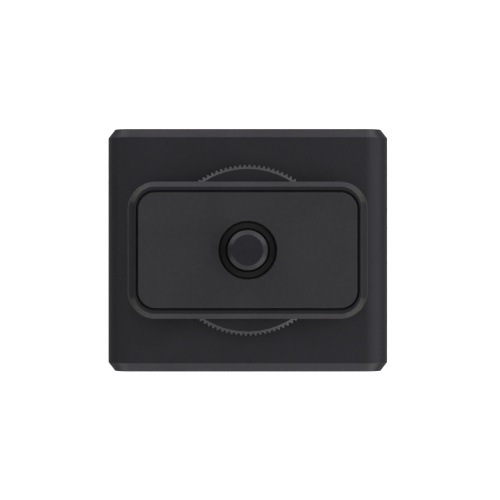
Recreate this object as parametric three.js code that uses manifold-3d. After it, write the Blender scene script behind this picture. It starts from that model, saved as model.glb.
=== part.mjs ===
// A cube-shaped action camera with a thumbscrew platform on its top face.
// Millimetres. +Z is up, the lens looks along -Y, and the origin is under the centre of the foot pad.
import * as THREE from "three";
import { mergeVertices } from "three/addons/utils/BufferGeometryUtils.js";
import Module from "manifold-3d";

const wasm = await Module();
wasm.setup();

// ---------------------------------------------------------------- driving dimensions

const gap = 0.1; // between pieces that are seated in or on each other
const slip = 0.15; // around pieces that move
const overlap = 0.05; // how far solids that are joined run into each other
const past = 1; // how far a cut runs beyond the surface it goes through

const housing = {
  width: 46.3,
  depth: 40,
  height: 44,
  cornerRadius: 4,
  sideWall: 2,
  topWall: 3,
  bottomWall: 2.6,
  chamferLength: 1.43,
  chamferInset: 1.1,
};

const foot = { width: 30, depth: 26, cornerRadius: 4, thickness: 1.4, proud: 0.6, holeRadius: 5.6 };
const socket = {
  boreRadius: 2.6,
  bodyRadius: 4.4,
  flangeRadius: 5.4,
  flangeThickness: 1,
  flangeClearance: 0.3,
  length: 6.4,
  endWall: 0.8,
};

const cover = { thickness: 2.6, inset: 0.3, sealWidth: 1.2, sealDepth: 0.8, sealOffset: 0.7 };
const coverScrew = { radius: 0.8, headRadius: 1.4, headHeight: 0.9, length: 6, edgeDistance: 2.5 };
const drive = { radiusShare: 0.5, depthShare: 0.6 }; // hexagon socket, as a share of a screw's head

const lens = {
  rise: 2.2,
  barrelRadius: 8,
  barrelWall: 1.4,
  barrelClearance: 0.4,
  ledge: 1.3,
  ringWidth: 2.5,
  ringThickness: 1.3,
  ringProud: 0.3,
  ringChamfer: 0.45,
  windowThickness: 1,
  elementThickness: 2.2,
  domeHeight: 1.6,
  domeSetback: 0.5,
  rearElementThickness: 1.8,
  rearElementLedge: 0.8,
  rearElementShare: 0.7,
};
lens.elementRadius = lens.barrelRadius - lens.barrelWall;
lens.rearElementRadius = lens.rearElementShare * lens.elementRadius;
lens.openingRadius = lens.barrelRadius + lens.barrelClearance;
lens.windowRadius = lens.openingRadius + lens.ledge;
lens.ringBore = lens.openingRadius + lens.ledge / 2;
lens.ringRadius = lens.ringBore + lens.ringWidth;
const sensor = { width: 9.4, height: 7.2, thickness: 1.2, boardSide: 16.5, boardThickness: 0.9 };
const mainBoard = { thickness: 1, margin: 1.2, socketClearance: 3, screwClearance: 1 };
const shield = { width: 14, height: 13, thickness: 1.8, offset: 2.5 };

const chassis = {
  sideWall: 2.3,
  endWall: 1.4,
  partition: 1.2,
  postRadius: 2.5,
  postLength: 4,
  screwHoleExtra: 0.5,
  portRecess: 1.1,
  recessMargin: 0.6,
  openingMargin: 0.2,
  buttonClearance: 0.3,
  bossWall: 1.2,
  bossHeight: 4,
};
const display = {
  sideMargin: 2.9,
  endMargin: 4.7,
  glassThickness: 1.5,
  glassProud: 0.3,
  glassBevel: 0.3,
  cornerRadius: 2.2,
  windowMargin: 2.2,
  moduleThickness: 2.2,
  moduleSideMargin: 3.1,
};
const battery = {
  thickness: 8.8,
  endMargin: 6.2,
  cornerRadius: 1.2,
  portClearance: 0.6,
  speakerClearance: 2.1,
  frontClearance: 0.2,
  backClearance: 0.4,
};

const door = {
  length: 21.6,
  height: 28,
  cornerRadius: 2.4,
  clearance: 0.25,
  rearEdge: 4.8,
  plugDepth: 0.9,
  plugCornerRadius: 1.6,
  plugEndMargin: 1.6,
  plugLatchGap: 0.5,
  plugHingeGap: 0.7,
};
const hingePin = { radius: 0.5, embed: 2.2, clearance: 0.06 };
const seal = { width: 1.1, thickness: 1, inset: 0.6, cornerRadius: 1.4 };
const latch = {
  thumbWidth: 3,
  thumbLength: 6.4,
  thumbProud: 0.35,
  thumbCornerRadius: 0.9,
  gripPitch: 1.4,
  gripWidth: 0.6,
  gripDepth: 0.25,
  pocketDepth: 0.7,
  pocketCornerRadius: 1,
  slotCornerRadius: 0.5,
  neckWidth: 1.4,
  neckLength: 3,
  boltWidth: 3.2,
  boltLength: 17,
  boltThickness: 0.7,
  travel: 1.8,
  fromFrontEdge: 2.9,
};
const usbPort = {
  width: 9,
  thickness: 3.2,
  length: 7.3,
  shell: 0.45,
  backWall: 1,
  drop: 6.8,
  tongueThickness: 0.7,
  tongueSideMargin: 1.3,
  tongueSetback: 0.8,
};
const portReach = 1; // how far the ports stand out of the edge of the main board
const cardSlot = { width: 12, thickness: 1.5, length: 13, backWall: 0.6, rise: 6.6 };
const memoryCard = { width: 11, thickness: 0.7, length: 13.2 };

const shutter = { radius: 4.6, rise: 5.6 };
const power = { radius: 2.8, rise: -6.4 };
const button = {
  fromFront: 12.6,
  proud: 0.35,
  flangeWidth: 0.8,
  flangeThickness: 0.5,
  crownChamfer: 0.3,
  travel: 0.5,
  sealThickness: 0.5,
  switchHeight: 1.4,
  switchSide: 3.4,
  plungerHeight: 0.4,
  boardThickness: 0.8,
  boardMargin: 1.4,
};
const speaker = {
  depth: 8,
  height: 15,
  thickness: 3,
  slots: 5,
  slotWidth: 0.9,
  slotHeight: 11,
  slotPitch: 1.6,
};
const microphone = { portRadius: 0.5, width: 3.6, height: 2.8, thickness: 1, sideInset: 7.4, rise: 4.8 };
const statusLight = { radius: 0.9, flangeRadius: 1.5, flangeThickness: 1 };

const wheel = {
  radius: 13.85,
  thickness: 5,
  gap: 0.5,
  sideClearance: 0.88,
  teeth: 110,
  toothDepth: 0.38,
  edgeChamferRadial: 0.7,
  edgeChamferAxial: 0.5,
};
const threadShape = { runOut: 0.8, crestFrom: 0.42, crestTo: 0.58 }; // shares of a pitch, but for the run-out
const screw = {
  radius: 3.165,
  pitch: 1.27,
  threadDepth: 0.62,
  tipRadius: 2.46,
  reach: 4.6,
  hexAcrossFlats: 7.6,
  journalRadius: 2.3,
  tail: 1.6,
};
const screwBush = { outerRadius: 4.45, innerRadius: 3.5, below: 0.85 };
const bearing = { outerRadius: 3.3, flangeRadius: 4.4, flangeThickness: 0.5, flangeClearance: 0.3 };
const washer = { outerRadius: 6.2, thickness: 0.4 };
const clip = { outerRadius: 4, thickness: 0.6, grooveRadius: 1.8, mouth: 3 };

const platform = {
  depth: 22,
  cornerRadius: 4.5,
  chamferHeight: 0.86,
  chamferInset: 0.86,
  shoulderHeight: 0.6,
  shoulderInset: 0.3,
  shoulderCorner: 4.15,
  plateThickness: 3.9,
  legWidth: 4.55,
  rim: 0.6,
};
const pad = { groove: 0.34, seatDepth: 1.2, proud: 0.25, holeRadius: 4.67, edgeBevel: 0.08 };
const platformScrew = {
  radius: 0.9,
  headRadius: 1.6,
  headHeight: 1.3,
  engagement: 2.5,
  intoLeg: 1.35,
  alongDepth: 6.2,
};
const baseScrew = { radius: 0.9, headRadius: 1.7, headHeight: 0.7, length: 5.2, fromCentre: 9.4 };

// ---------------------------------------------------------------- places worked out from them

const halfWidth = housing.width / 2;
const halfDepth = housing.depth / 2;
const bottom = foot.proud;
const footSeat = foot.thickness;
const top = bottom + housing.height;

const cavity = {
  halfWidth: halfWidth - housing.sideWall,
  bottom: bottom + housing.bottomWall,
  top: top - housing.topWall,
  radius: housing.cornerRadius - housing.sideWall,
};
cavity.height = cavity.top - cavity.bottom;
cavity.middle = (cavity.top + cavity.bottom) / 2;
display.glassWidth = 2 * (cavity.halfWidth - display.sideMargin);
display.glassHeight = cavity.height - 2 * display.endMargin;
battery.height = cavity.height - 2 * battery.endMargin;

const coverFace = halfDepth - cover.inset;
const coverBack = coverFace - cover.thickness;
const lensHeight = cavity.middle + lens.rise;

const wheelBottom = top + wheel.gap;
const wheelTop = wheelBottom + wheel.thickness;
const plateBottom = wheelTop + wheel.gap;
const plateTop = plateBottom + platform.plateThickness;
const padSeat = plateTop - pad.seatDepth;
const padTop = plateTop + pad.proud;
const screwTop = padTop + screw.reach;
const slotHalf = wheel.radius + wheel.sideClearance;
const platformHalf = slotHalf + platform.legWidth;

const displayBack = coverBack - gap;
const displayFront = displayBack - display.moduleThickness;
const batteryBack = displayFront - battery.backClearance;
const batteryFront = batteryBack - battery.thickness;
const partitionBack = batteryFront - battery.frontClearance;
const partitionFront = partitionBack - chassis.partition;
const boardBack = partitionFront - 2 * gap;
const boardFront = boardBack - mainBoard.thickness;
const shieldFront = boardFront - gap - shield.thickness;
const sensorBoardBack = shieldFront - 2 * gap;
const sensorBoardFront = sensorBoardBack - sensor.boardThickness;
const sensorFront = sensorBoardFront - gap - sensor.thickness;

const lensRingFront = -(halfDepth + lens.ringProud);
const lensRingBack = lensRingFront + lens.ringThickness;
const windowFront = lensRingBack + gap;
const windowBack = windowFront + lens.windowThickness;
const barrelFront = windowBack + 2 * gap;
const barrelBack = sensorFront - 2 * gap;

const chassisHalf = cavity.halfWidth - gap - slip;
const chassisBottom = cavity.bottom + slip;
const chassisTop = cavity.top - slip;
const innerHalf = chassisHalf - chassis.sideWall;
const postX = cavity.halfWidth - coverScrew.edgeDistance;
const postRise = cavity.height / 2 - coverScrew.edgeDistance;

const doorOuter = -halfWidth;
const doorInner = doorOuter + housing.sideWall;
const doorRear = halfDepth - door.rearEdge;
const doorFront = doorRear - door.length;
const hingeX = (doorOuter + doorInner) / 2;
const knuckleRadius = housing.sideWall / 2;
const hingeY = doorRear - knuckleRadius;
const latchY = doorFront + latch.fromFrontEdge;
const portPlate = -chassisHalf + chassis.portRecess;
const plugFront = latchY + latch.boltWidth / 2 + door.plugLatchGap;
const plugRear = hingeY - knuckleRadius - door.plugHingeGap;
const plugHalf = door.height / 2 - door.plugEndMargin;

const buttonY = -halfDepth + button.fromFront;
const speakerY = batteryFront + battery.thickness / 2;
const wallInside = cavity.halfWidth;

// ---------------------------------------------------------------- shapes and solids

// A closed geometry as a manifold-3d solid. Triangles that merging has collapsed are dropped.
function solidOf(geometry) {
  const bare = geometry.index ? geometry.toNonIndexed() : geometry.clone();
  bare.deleteAttribute("normal");
  bare.deleteAttribute("uv");
  const merged = mergeVertices(bare, 1e-4);
  const index = merged.index.array;
  const kept = [];
  for (let i = 0; i < index.length; i += 3) {
    const [a, b, c] = [index[i], index[i + 1], index[i + 2]];
    if (a !== b && b !== c && c !== a) kept.push(a, b, c);
  }
  const vertProperties = merged.attributes.position.array;
  return new wasm.Manifold(new wasm.Mesh({ numProp: 3, vertProperties, triVerts: new Uint32Array(kept) }));
}

function geometryOf(solid) {
  const mesh = solid.getMesh();
  return new THREE.BufferGeometry()
    .setAttribute("position", new THREE.BufferAttribute(mesh.vertProperties, 3))
    .setIndex(new THREE.BufferAttribute(mesh.triVerts, 1));
}

// Two coordinates in rising order.
const span = (a, b) => [Math.min(a, b), Math.max(a, b)];

const join = (...solids) => solids.reduce((a, b) => a.add(b));
const cut = (solid, ...tools) => tools.reduce((a, b) => a.subtract(b), solid);

// Turns a geometry made along its own +Z so that it lies along one axis of the part.
// Its own x and y become (x, y) for Z, (x, z) for Y, with its length running to -Y, and (y, z) for X.
const turns = {
  X: new THREE.Matrix4().makeBasis(
    new THREE.Vector3(0, 1, 0),
    new THREE.Vector3(0, 0, 1),
    new THREE.Vector3(1, 0, 0),
  ),
  Y: new THREE.Matrix4().makeRotationX(Math.PI / 2),
  Z: new THREE.Matrix4(),
};

function placed(geometry, axis, from, to) {
  geometry.applyMatrix4(turns[axis]);
  if (axis === "X") geometry.translate(from, 0, 0);
  if (axis === "Y") geometry.translate(0, to, 0);
  if (axis === "Z") geometry.translate(0, 0, from);
  return solidOf(geometry);
}

// An outline pushed from one coordinate to another along an axis. A bevel takes in both end faces.
function extruded(shape, axis, from, to, { bevelLength = 0, bevelInset = bevelLength, arcSteps = 6 } = {}) {
  const geometry = new THREE.ExtrudeGeometry(shape, {
    depth: to - from - 2 * bevelLength,
    curveSegments: arcSteps,
    bevelEnabled: bevelLength > 0,
    bevelThickness: bevelLength,
    bevelSize: bevelInset,
    bevelOffset: -bevelInset,
    bevelSegments: 1,
  });
  geometry.translate(0, 0, bevelLength);
  return placed(geometry, axis, from, to);
}

const leastFlat = 0.01; // a rounded side keeps a short straight run
function roundedRectangle(width, height, radius, x = 0, y = 0) {
  const [a, b] = [width / 2, height / 2];
  const r = Math.min(radius, a - leastFlat, b - leastFlat);
  const shape = new THREE.Shape();
  shape.moveTo(x - a + r, y - b);
  shape.lineTo(x + a - r, y - b);
  shape.absarc(x + a - r, y - b + r, r, -Math.PI / 2, 0);
  shape.lineTo(x + a, y + b - r);
  shape.absarc(x + a - r, y + b - r, r, 0, Math.PI / 2);
  shape.lineTo(x - a + r, y + b);
  shape.absarc(x - a + r, y + b - r, r, Math.PI / 2, Math.PI);
  shape.lineTo(x - a, y - b + r);
  shape.absarc(x - a + r, y - b + r, r, Math.PI, 1.5 * Math.PI);
  return shape;
}

function box(x0, x1, y0, y1, z0, z1) {
  const geometry = new THREE.BoxGeometry(x1 - x0, y1 - y0, z1 - z0);
  geometry.translate((x0 + x1) / 2, (y0 + y1) / 2, (z0 + z1) / 2);
  return solidOf(geometry);
}

// A round bar. (u, v) is its centre in the plane across the axis, as in the outlines above.
function rod(axis, radius, from, to, u = 0, v = 0, sides = 32) {
  const geometry = new THREE.CylinderGeometry(radius, radius, to - from, sides);
  geometry.rotateX(Math.PI / 2);
  geometry.translate(u, v, (to - from) / 2);
  return placed(geometry, axis, from, to);
}

// A turned piece. Its profile is [radius, distance along the axis] pairs, from the start to the end of its
// outside. It closes along the axis, or along an inner radius if one is given.
function turned(profile, axis, u = 0, v = 0, { sides = 40, bore = 0 } = {}) {
  const first = profile[0][1];
  const last = profile[profile.length - 1][1];
  const points = [[bore, first], ...profile, [bore, last]].map(([r, t]) => new THREE.Vector2(r, t));
  if (bore > 0) points.push(new THREE.Vector2(bore, first));
  const geometry = new THREE.LatheGeometry(points, sides);
  geometry.rotateX(Math.PI / 2);
  if (axis === "Y") {
    // The profile's distances are part coordinates along Y, so they keep their direction.
    geometry.applyMatrix4(new THREE.Matrix4().makeRotationX(-Math.PI / 2));
    geometry.translate(u, 0, v);
    return solidOf(geometry);
  }
  geometry.translate(u, v, 0);
  geometry.applyMatrix4(turns[axis]);
  return solidOf(geometry);
}

const ring = (axis, outer, inner, from, to, u = 0, v = 0, sides = 32) =>
  cut(rod(axis, outer, from, to, u, v, sides), rod(axis, inner, from - past, to + past, u, v, sides));

// ---------------------------------------------------------------- finishes

const finish = (color, roughness, metalness = 0) =>
  new THREE.MeshStandardMaterial({ color, roughness, metalness });
const finishes = {
  anodised: finish(0x2e2e32, 0.42, 0.85),
  anodisedDark: finish(0x29292b, 0.4, 0.85),
  rubber: finish(0x38383b, 0.8),
  blackPlastic: finish(0x121214, 0.5),
  blackAcetal: finish(0x1c1c1c, 0.45),
  silicone: finish(0x202022, 0.85),
  steel: finish(0x55565a, 0.35, 0.9),
  brass: finish(0xa88a4a, 0.35, 0.9),
  glass: finish(0x0c0d10, 0.05),
  circuit: finish(0x123a24, 0.6),
  chip: finish(0x1a1a1c, 0.5),
  battery: finish(0x3a3d42, 0.6),
  lightPipe: finish(0xd8d8d0, 0.3),
};

const camera = new THREE.Group();
function add(name, solid, material) {
  const mesh = new THREE.Mesh(geometryOf(solid), material);
  mesh.name = name;
  camera.add(mesh);
}

// ---------------------------------------------------------------- housing

const cavityOutline = (inset) =>
  roundedRectangle(
    2 * (cavity.halfWidth - inset),
    cavity.height - 2 * inset,
    cavity.radius - inset,
    0,
    cavity.middle,
  );

const platformScrewPlaces = [-1, 1].flatMap((sx) =>
  [-1, 1].map((sy) => [sx * (slotHalf + platformScrew.intoLeg), sy * platformScrew.alongDepth]),
);
const coverScrewPlaces = [-1, 1].flatMap((sx) =>
  [-1, 1].map((sz) => [sx * postX, cavity.middle + sz * postRise]),
);
const baseScrewPlaces = [-1, 1].map((sx) => [sx * baseScrew.fromCentre, 0]);

// The door's slab has round corners at its free edge and square ones along its hinge.
function doorSlab(grow, from, to) {
  const [half, length] = [door.height / 2 + grow, door.length + 2 * grow];
  const middle = doorRear - door.length / 2;
  const outline = roundedRectangle(length, 2 * half, door.cornerRadius + grow, middle, cavity.middle);
  return join(
    extruded(outline, "X", from, to, { arcSteps: 4 }),
    box(from, to, middle, doorRear + grow, cavity.middle - half, cavity.middle + half),
  );
}

function housingSleeve() {
  const outside = extruded(
    roundedRectangle(housing.width, housing.height, housing.cornerRadius, 0, (top + bottom) / 2),
    "Y",
    -halfDepth,
    halfDepth,
    { bevelLength: housing.chamferLength, bevelInset: housing.chamferInset, arcSteps: 7 },
  );
  const inside = extruded(cavityOutline(0), "Y", -halfDepth - past, halfDepth + past, { arcSteps: 5 });
  const doorway = doorSlab(door.clearance, doorOuter - past, doorInner + past);
  const pinHole = rod(
    "Z",
    hingePin.radius + hingePin.clearance,
    cavity.middle - door.height / 2 - hingePin.embed - gap,
    cavity.middle + door.height / 2 + hingePin.embed + gap,
    hingeX,
    hingeY,
    12,
  );
  const buttonHoles = [shutter, power].map((b) =>
    rod("X", b.radius + slip, wallInside - past, halfWidth + past, buttonY, cavity.middle + b.rise, 32),
  );
  const slots = [...Array(speaker.slots).keys()].map((i) => {
    const y = speakerY + (i - (speaker.slots - 1) / 2) * speaker.slotPitch;
    const end = speaker.slotWidth / 2;
    const outline = roundedRectangle(speaker.slotWidth, speaker.slotHeight, end, y, cavity.middle);
    return extruded(outline, "X", wallInside - past, halfWidth + past, { arcSteps: 3 });
  });
  const threadedHoles = platformScrewPlaces.map(([x, y]) =>
    rod("Z", platformScrew.radius + gap / 2, top - platformScrew.engagement - gap, top + past, x, y, 12),
  );
  const bearingHole = rod("Z", bearing.outerRadius + gap / 2, cavity.top - past, top + past);
  const footRecess = extruded(
    roundedRectangle(foot.width + 2 * gap, foot.depth + 2 * gap, foot.cornerRadius + gap),
    "Z",
    bottom - past,
    footSeat,
    { arcSteps: 4 },
  );
  const socketHole = rod("Z", socket.bodyRadius + gap / 2, bottom - past, cavity.bottom + past);
  const baseHoles = baseScrewPlaces.flatMap(([x, y]) => [
    rod("Z", baseScrew.radius + gap, bottom - past, cavity.bottom + past, x, y, 12),
    rod("Z", baseScrew.headRadius + gap, bottom - past, footSeat + baseScrew.headHeight + gap, x, y, 20),
  ]);
  return cut(
    outside,
    inside,
    doorway,
    pinHole,
    ...buttonHoles,
    ...slots,
    ...threadedHoles,
    bearingHole,
    footRecess,
    socketHole,
    ...baseHoles,
  );
}

add("housing_sleeve", housingSleeve(), finishes.anodised);

// ---------------------------------------------------------------- front and rear covers

// A cover's own seal lies in a groove round its rim.
function coverSolids(face, back) {
  const [from, to] = span(face, back);
  const inward = Math.sign(back - face);
  const sealFrom = face + inward * cover.sealOffset;
  const [s0, s1] = span(sealFrom, sealFrom + inward * cover.sealWidth);
  const blank = extruded(cavityOutline(gap), "Y", from, to, { arcSteps: 5 });
  const band = (inset, a, b) => extruded(cavityOutline(inset), "Y", a, b, { arcSteps: 5 });
  const groove = cut(band(0, s0, s1), band(gap + cover.sealDepth, s0 - past, s1 + past));
  const rimSeal = cut(
    band(gap / 2, s0 + gap / 2, s1 - gap / 2),
    band(cover.sealDepth, s0 - past, s1 + past),
  );
  const screwHoles = coverScrewPlaces.flatMap(([x, z]) => {
    const headSeat = face + inward * (coverScrew.headHeight + gap);
    return [
      rod("Y", coverScrew.radius + gap, from - past, to + past, x, z, 12),
      rod("Y", coverScrew.headRadius + gap, ...span(face - inward * past, headSeat), x, z, 20),
    ];
  });
  return { blank: cut(blank, groove, ...screwHoles), rimSeal };
}

const front = coverSolids(-coverFace, -coverBack);
const rear = coverSolids(coverFace, coverBack);

const microphonePlace = [-(cavity.halfWidth - microphone.sideInset), cavity.bottom + microphone.rise];
const lightPlace = [-microphonePlace[0], microphonePlace[1]];

add(
  "front_cover",
  cut(
    front.blank,
    rod("Y", lens.openingRadius, -halfDepth - past, -coverBack + past, 0, lensHeight, 48),
    rod("Y", lens.windowRadius + gap, -halfDepth - past, windowBack + gap / 2, 0, lensHeight, 48),
    rod("Y", lens.ringRadius + gap, -halfDepth - past, lensRingBack + gap / 2, 0, lensHeight, 64),
    rod("Y", microphone.portRadius, -halfDepth - past, -coverBack + past, ...microphonePlace, 16),
    rod("Y", statusLight.radius + gap / 2, -halfDepth - past, -coverBack + past, ...lightPlace, 16),
  ),
  finishes.blackPlastic,
);
add("front_seal", front.rimSeal, finishes.silicone);

const glassFace = halfDepth + display.glassProud;
const glassSeat = glassFace - display.glassThickness - gap;
const displayMiddle = cavity.middle;
add(
  "rear_cover",
  cut(
    rear.blank,
    extruded(
      roundedRectangle(
        display.glassWidth + 2 * gap,
        display.glassHeight + 2 * gap,
        display.cornerRadius + gap,
        0,
        displayMiddle,
      ),
      "Y",
      glassSeat,
      halfDepth + past,
      { arcSteps: 4 },
    ),
    extruded(
      roundedRectangle(
        display.glassWidth - 2 * display.windowMargin,
        display.glassHeight - 2 * display.windowMargin,
        display.cornerRadius / 2,
        0,
        displayMiddle,
      ),
      "Y",
      coverBack - past,
      halfDepth + past,
      { arcSteps: 3 },
    ),
  ),
  finishes.blackPlastic,
);
add("rear_seal", rear.rimSeal, finishes.silicone);

// A socket-head screw along an axis. Its head's top is at the first coordinate and its tip at the second.
function socketScrew(axis, headTop, tip, { radius, headRadius, headHeight }, u, v) {
  const way = Math.sign(tip - headTop);
  const underHead = headTop + way * headHeight;
  const head = rod(axis, headRadius, ...span(headTop, underHead), u, v, 16);
  const shank = rod(axis, radius, ...span(underHead - way * overlap, tip), u, v, 8);
  const recessEnd = headTop + way * headHeight * drive.depthShare;
  const recess = rod(axis, headRadius * drive.radiusShare, ...span(headTop - way * past, recessEnd), u, v, 6);
  return cut(join(head, shank), recess);
}

coverScrewPlaces.forEach(([x, z], i) => {
  const headIn = -coverFace + gap;
  add(
    `front_screw_${i + 1}`,
    socketScrew("Y", headIn, headIn + coverScrew.length, coverScrew, x, z),
    finishes.steel,
  );
  add(
    `rear_screw_${i + 1}`,
    socketScrew("Y", -headIn, -headIn - coverScrew.length, coverScrew, x, z),
    finishes.steel,
  );
});

// ---------------------------------------------------------------- lens and sensor

add(
  "lens_ring",
  turned(
    [
      [lens.ringRadius - lens.ringChamfer, lensRingFront],
      [lens.ringRadius, lensRingFront + lens.ringChamfer],
      [lens.ringRadius, lensRingBack],
    ],
    "Y",
    0,
    lensHeight,
    { sides: 64, bore: lens.ringBore },
  ),
  finishes.anodisedDark,
);
add(
  "lens_window",
  rod("Y", lens.windowRadius, windowFront, windowBack, 0, lensHeight, 48),
  finishes.glass,
);

const elementFront = barrelFront + lens.domeSetback + lens.domeHeight;
const elementBack = elementFront + lens.elementThickness;
// Shares of the element's radius and of its dome's height.
const domePoints = [
  [0.45, 0.86],
  [0.75, 0.52],
  [1, 0],
];
function lensBarrel() {
  const tube = rod("Y", lens.barrelRadius, barrelFront, barrelBack, 0, lensHeight, 48);
  const mouth = rod("Y", lens.elementRadius + gap, barrelFront - past, elementBack + gap, 0, lensHeight, 40);
  const throatRadius = lens.rearElementRadius - lens.rearElementLedge;
  const throat = rod("Y", throatRadius, barrelFront - past, barrelBack + past, 0, lensHeight, 32);
  const rearSeat = rod(
    "Y",
    lens.rearElementRadius + gap,
    barrelBack - lens.rearElementThickness - gap,
    barrelBack + past,
    0,
    lensHeight,
    32,
  );
  return cut(tube, mouth, throat, rearSeat);
}
add("lens_barrel", lensBarrel(), finishes.blackPlastic);
add(
  "lens_front_element",
  turned(
    [
      ...domePoints.map(([across, up]) => [lens.elementRadius * across, elementFront - lens.domeHeight * up]),
      [lens.elementRadius, elementBack],
    ],
    "Y",
    0,
    lensHeight,
    { sides: 36 },
  ),
  finishes.glass,
);
add(
  "lens_rear_element",
  rod(
    "Y",
    lens.rearElementRadius,
    barrelBack - lens.rearElementThickness,
    barrelBack,
    0,
    lensHeight,
    28,
  ),
  finishes.glass,
);
add(
  "image_sensor",
  box(
    -sensor.width / 2,
    sensor.width / 2,
    sensorFront,
    sensorFront + sensor.thickness,
    lensHeight - sensor.height / 2,
    lensHeight + sensor.height / 2,
  ),
  finishes.chip,
);
add(
  "sensor_board",
  box(
    -sensor.boardSide / 2,
    sensor.boardSide / 2,
    sensorBoardFront,
    sensorBoardBack,
    lensHeight - sensor.boardSide / 2,
    lensHeight + sensor.boardSide / 2,
  ),
  finishes.circuit,
);

// ---------------------------------------------------------------- chassis and boards

const tailBottom = cavity.top - bearing.flangeThickness - screw.tail - clip.thickness;
const portOpening = (thickness, width, rise) => [
  boardFront - gap - thickness - chassis.openingMargin,
  boardFront,
  rise - width / 2 - chassis.openingMargin,
  rise + width / 2 + chassis.openingMargin,
];
const portOpenings = {
  battery: [
    batteryFront - slip,
    batteryBack + slip,
    -battery.height / 2 - chassis.openingMargin,
    battery.height / 2 + chassis.openingMargin,
  ],
  usb: portOpening(usbPort.thickness, usbPort.width, -usbPort.drop),
  card: portOpening(cardSlot.thickness, cardSlot.width, cardSlot.rise),
};

function chassisFrame() {
  const y0 = -coverBack + gap;
  const y1 = coverBack - gap;
  const height = chassisTop - chassisBottom;
  const middle = (chassisTop + chassisBottom) / 2;
  const outline = roundedRectangle(2 * chassisHalf, height, cavity.radius - slip, 0, middle);
  const bay = (from, to) =>
    box(-innerHalf, innerHalf, from, to, chassisBottom + chassis.endWall, chassisTop - chassis.endWall);
  const hollow = cut(
    extruded(outline, "Y", y0, y1, { arcSteps: 3 }),
    bay(y0 - past, partitionFront),
    bay(partitionBack, y1 + past),
  );
  // The posts take the covers' screws, and are trimmed to the frame's own outline.
  const posts = coverScrewPlaces.flatMap(([x, z]) => [
    rod("Y", chassis.postRadius, y0, y0 + chassis.postLength, x, z, 20),
    rod("Y", chassis.postRadius, y1 - chassis.postLength, y1, x, z, 20),
  ]);
  const trimmed = join(...posts).intersect(extruded(outline, "Y", y0, y1, { arcSteps: 3 }));
  const holeRadius = coverScrew.radius + gap / 2;
  const holeLength = chassis.postLength + chassis.screwHoleExtra;
  const screwHoles = coverScrewPlaces.flatMap(([x, z]) => [
    rod("Y", holeRadius, y0 - past, y0 + holeLength, x, z, 12),
    rod("Y", holeRadius, y1 - holeLength, y1 + past, x, z, 12),
  ]);
  const portRecess = box(
    -chassisHalf - past,
    portPlate,
    doorFront - chassis.recessMargin,
    doorRear + chassis.recessMargin,
    cavity.middle - door.height / 2 - chassis.recessMargin,
    cavity.middle + door.height / 2 + latch.travel + chassis.recessMargin,
  );
  const ports = Object.values(portOpenings).map(([a, b, c, d]) =>
    box(-chassisHalf - past, -innerHalf + past, a, b, cavity.middle + c, cavity.middle + d),
  );
  const buttonHoles = [shutter, power].map((b) =>
    rod(
      "X",
      b.radius + button.flangeWidth + chassis.buttonClearance,
      innerHalf - past,
      chassisHalf + past,
      buttonY,
      cavity.middle + b.rise,
      32,
    ),
  );
  const speakerHole = box(
    innerHalf - past,
    chassisHalf + past,
    speakerY - speaker.depth / 2 - gap,
    speakerY + speaker.depth / 2 + gap,
    cavity.middle - speaker.height / 2 - gap,
    cavity.middle + speaker.height / 2 + gap,
  );
  const bearingPocket = rod(
    "Z",
    bearing.flangeRadius + bearing.flangeClearance,
    chassisTop - chassis.endWall - past,
    chassisTop + past,
  );
  const socketTop = bottom + gap + socket.length;
  const socketPocket = join(
    rod(
      "Z",
      socket.flangeRadius + socket.flangeClearance,
      chassisBottom - past,
      chassisBottom + chassis.endWall + gap,
    ),
    rod("Z", socket.bodyRadius + gap, chassisBottom, socketTop + gap, 0, 0, 24),
  );
  const bossTop = chassisBottom + chassis.bossHeight;
  const baseBosses = baseScrewPlaces.map(([x, y]) =>
    rod("Z", baseScrew.radius + chassis.bossWall, chassisBottom, bossTop, x, y, 16),
  );
  const baseHoles = baseScrewPlaces.map(([x, y]) =>
    rod("Z", baseScrew.radius + gap / 2, chassisBottom - past, bossTop + past, x, y, 12),
  );
  return cut(
    join(hollow, trimmed, ...baseBosses),
    ...screwHoles,
    portRecess,
    ...ports,
    ...buttonHoles,
    speakerHole,
    bearingPocket,
    socketPocket,
    ...baseHoles,
  );
}
add("chassis_frame", chassisFrame(), finishes.blackPlastic);

const boardHalf = innerHalf - mainBoard.margin;
const boardBottom = chassisBottom + chassis.endWall + mainBoard.margin + mainBoard.socketClearance;
const boardTop = tailBottom - mainBoard.screwClearance;
add(
  "main_board",
  box(-boardHalf, boardHalf, boardFront, boardBack, boardBottom, boardTop),
  finishes.circuit,
);
add(
  "processor_shield",
  box(
    shield.offset - shield.width / 2,
    shield.offset + shield.width / 2,
    shieldFront,
    boardFront - gap,
    cavity.middle - shield.height / 2,
    cavity.middle + shield.height / 2,
  ),
  finishes.steel,
);
add(
  "battery_pack",
  extruded(
    roundedRectangle(
      battery.thickness,
      battery.height,
      battery.cornerRadius,
      (batteryFront + batteryBack) / 2,
      cavity.middle,
    ),
    "X",
    -innerHalf + battery.portClearance,
    chassisHalf - speaker.thickness - battery.speakerClearance - gap,
    { arcSteps: 3 },
  ),
  finishes.battery,
);

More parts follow.
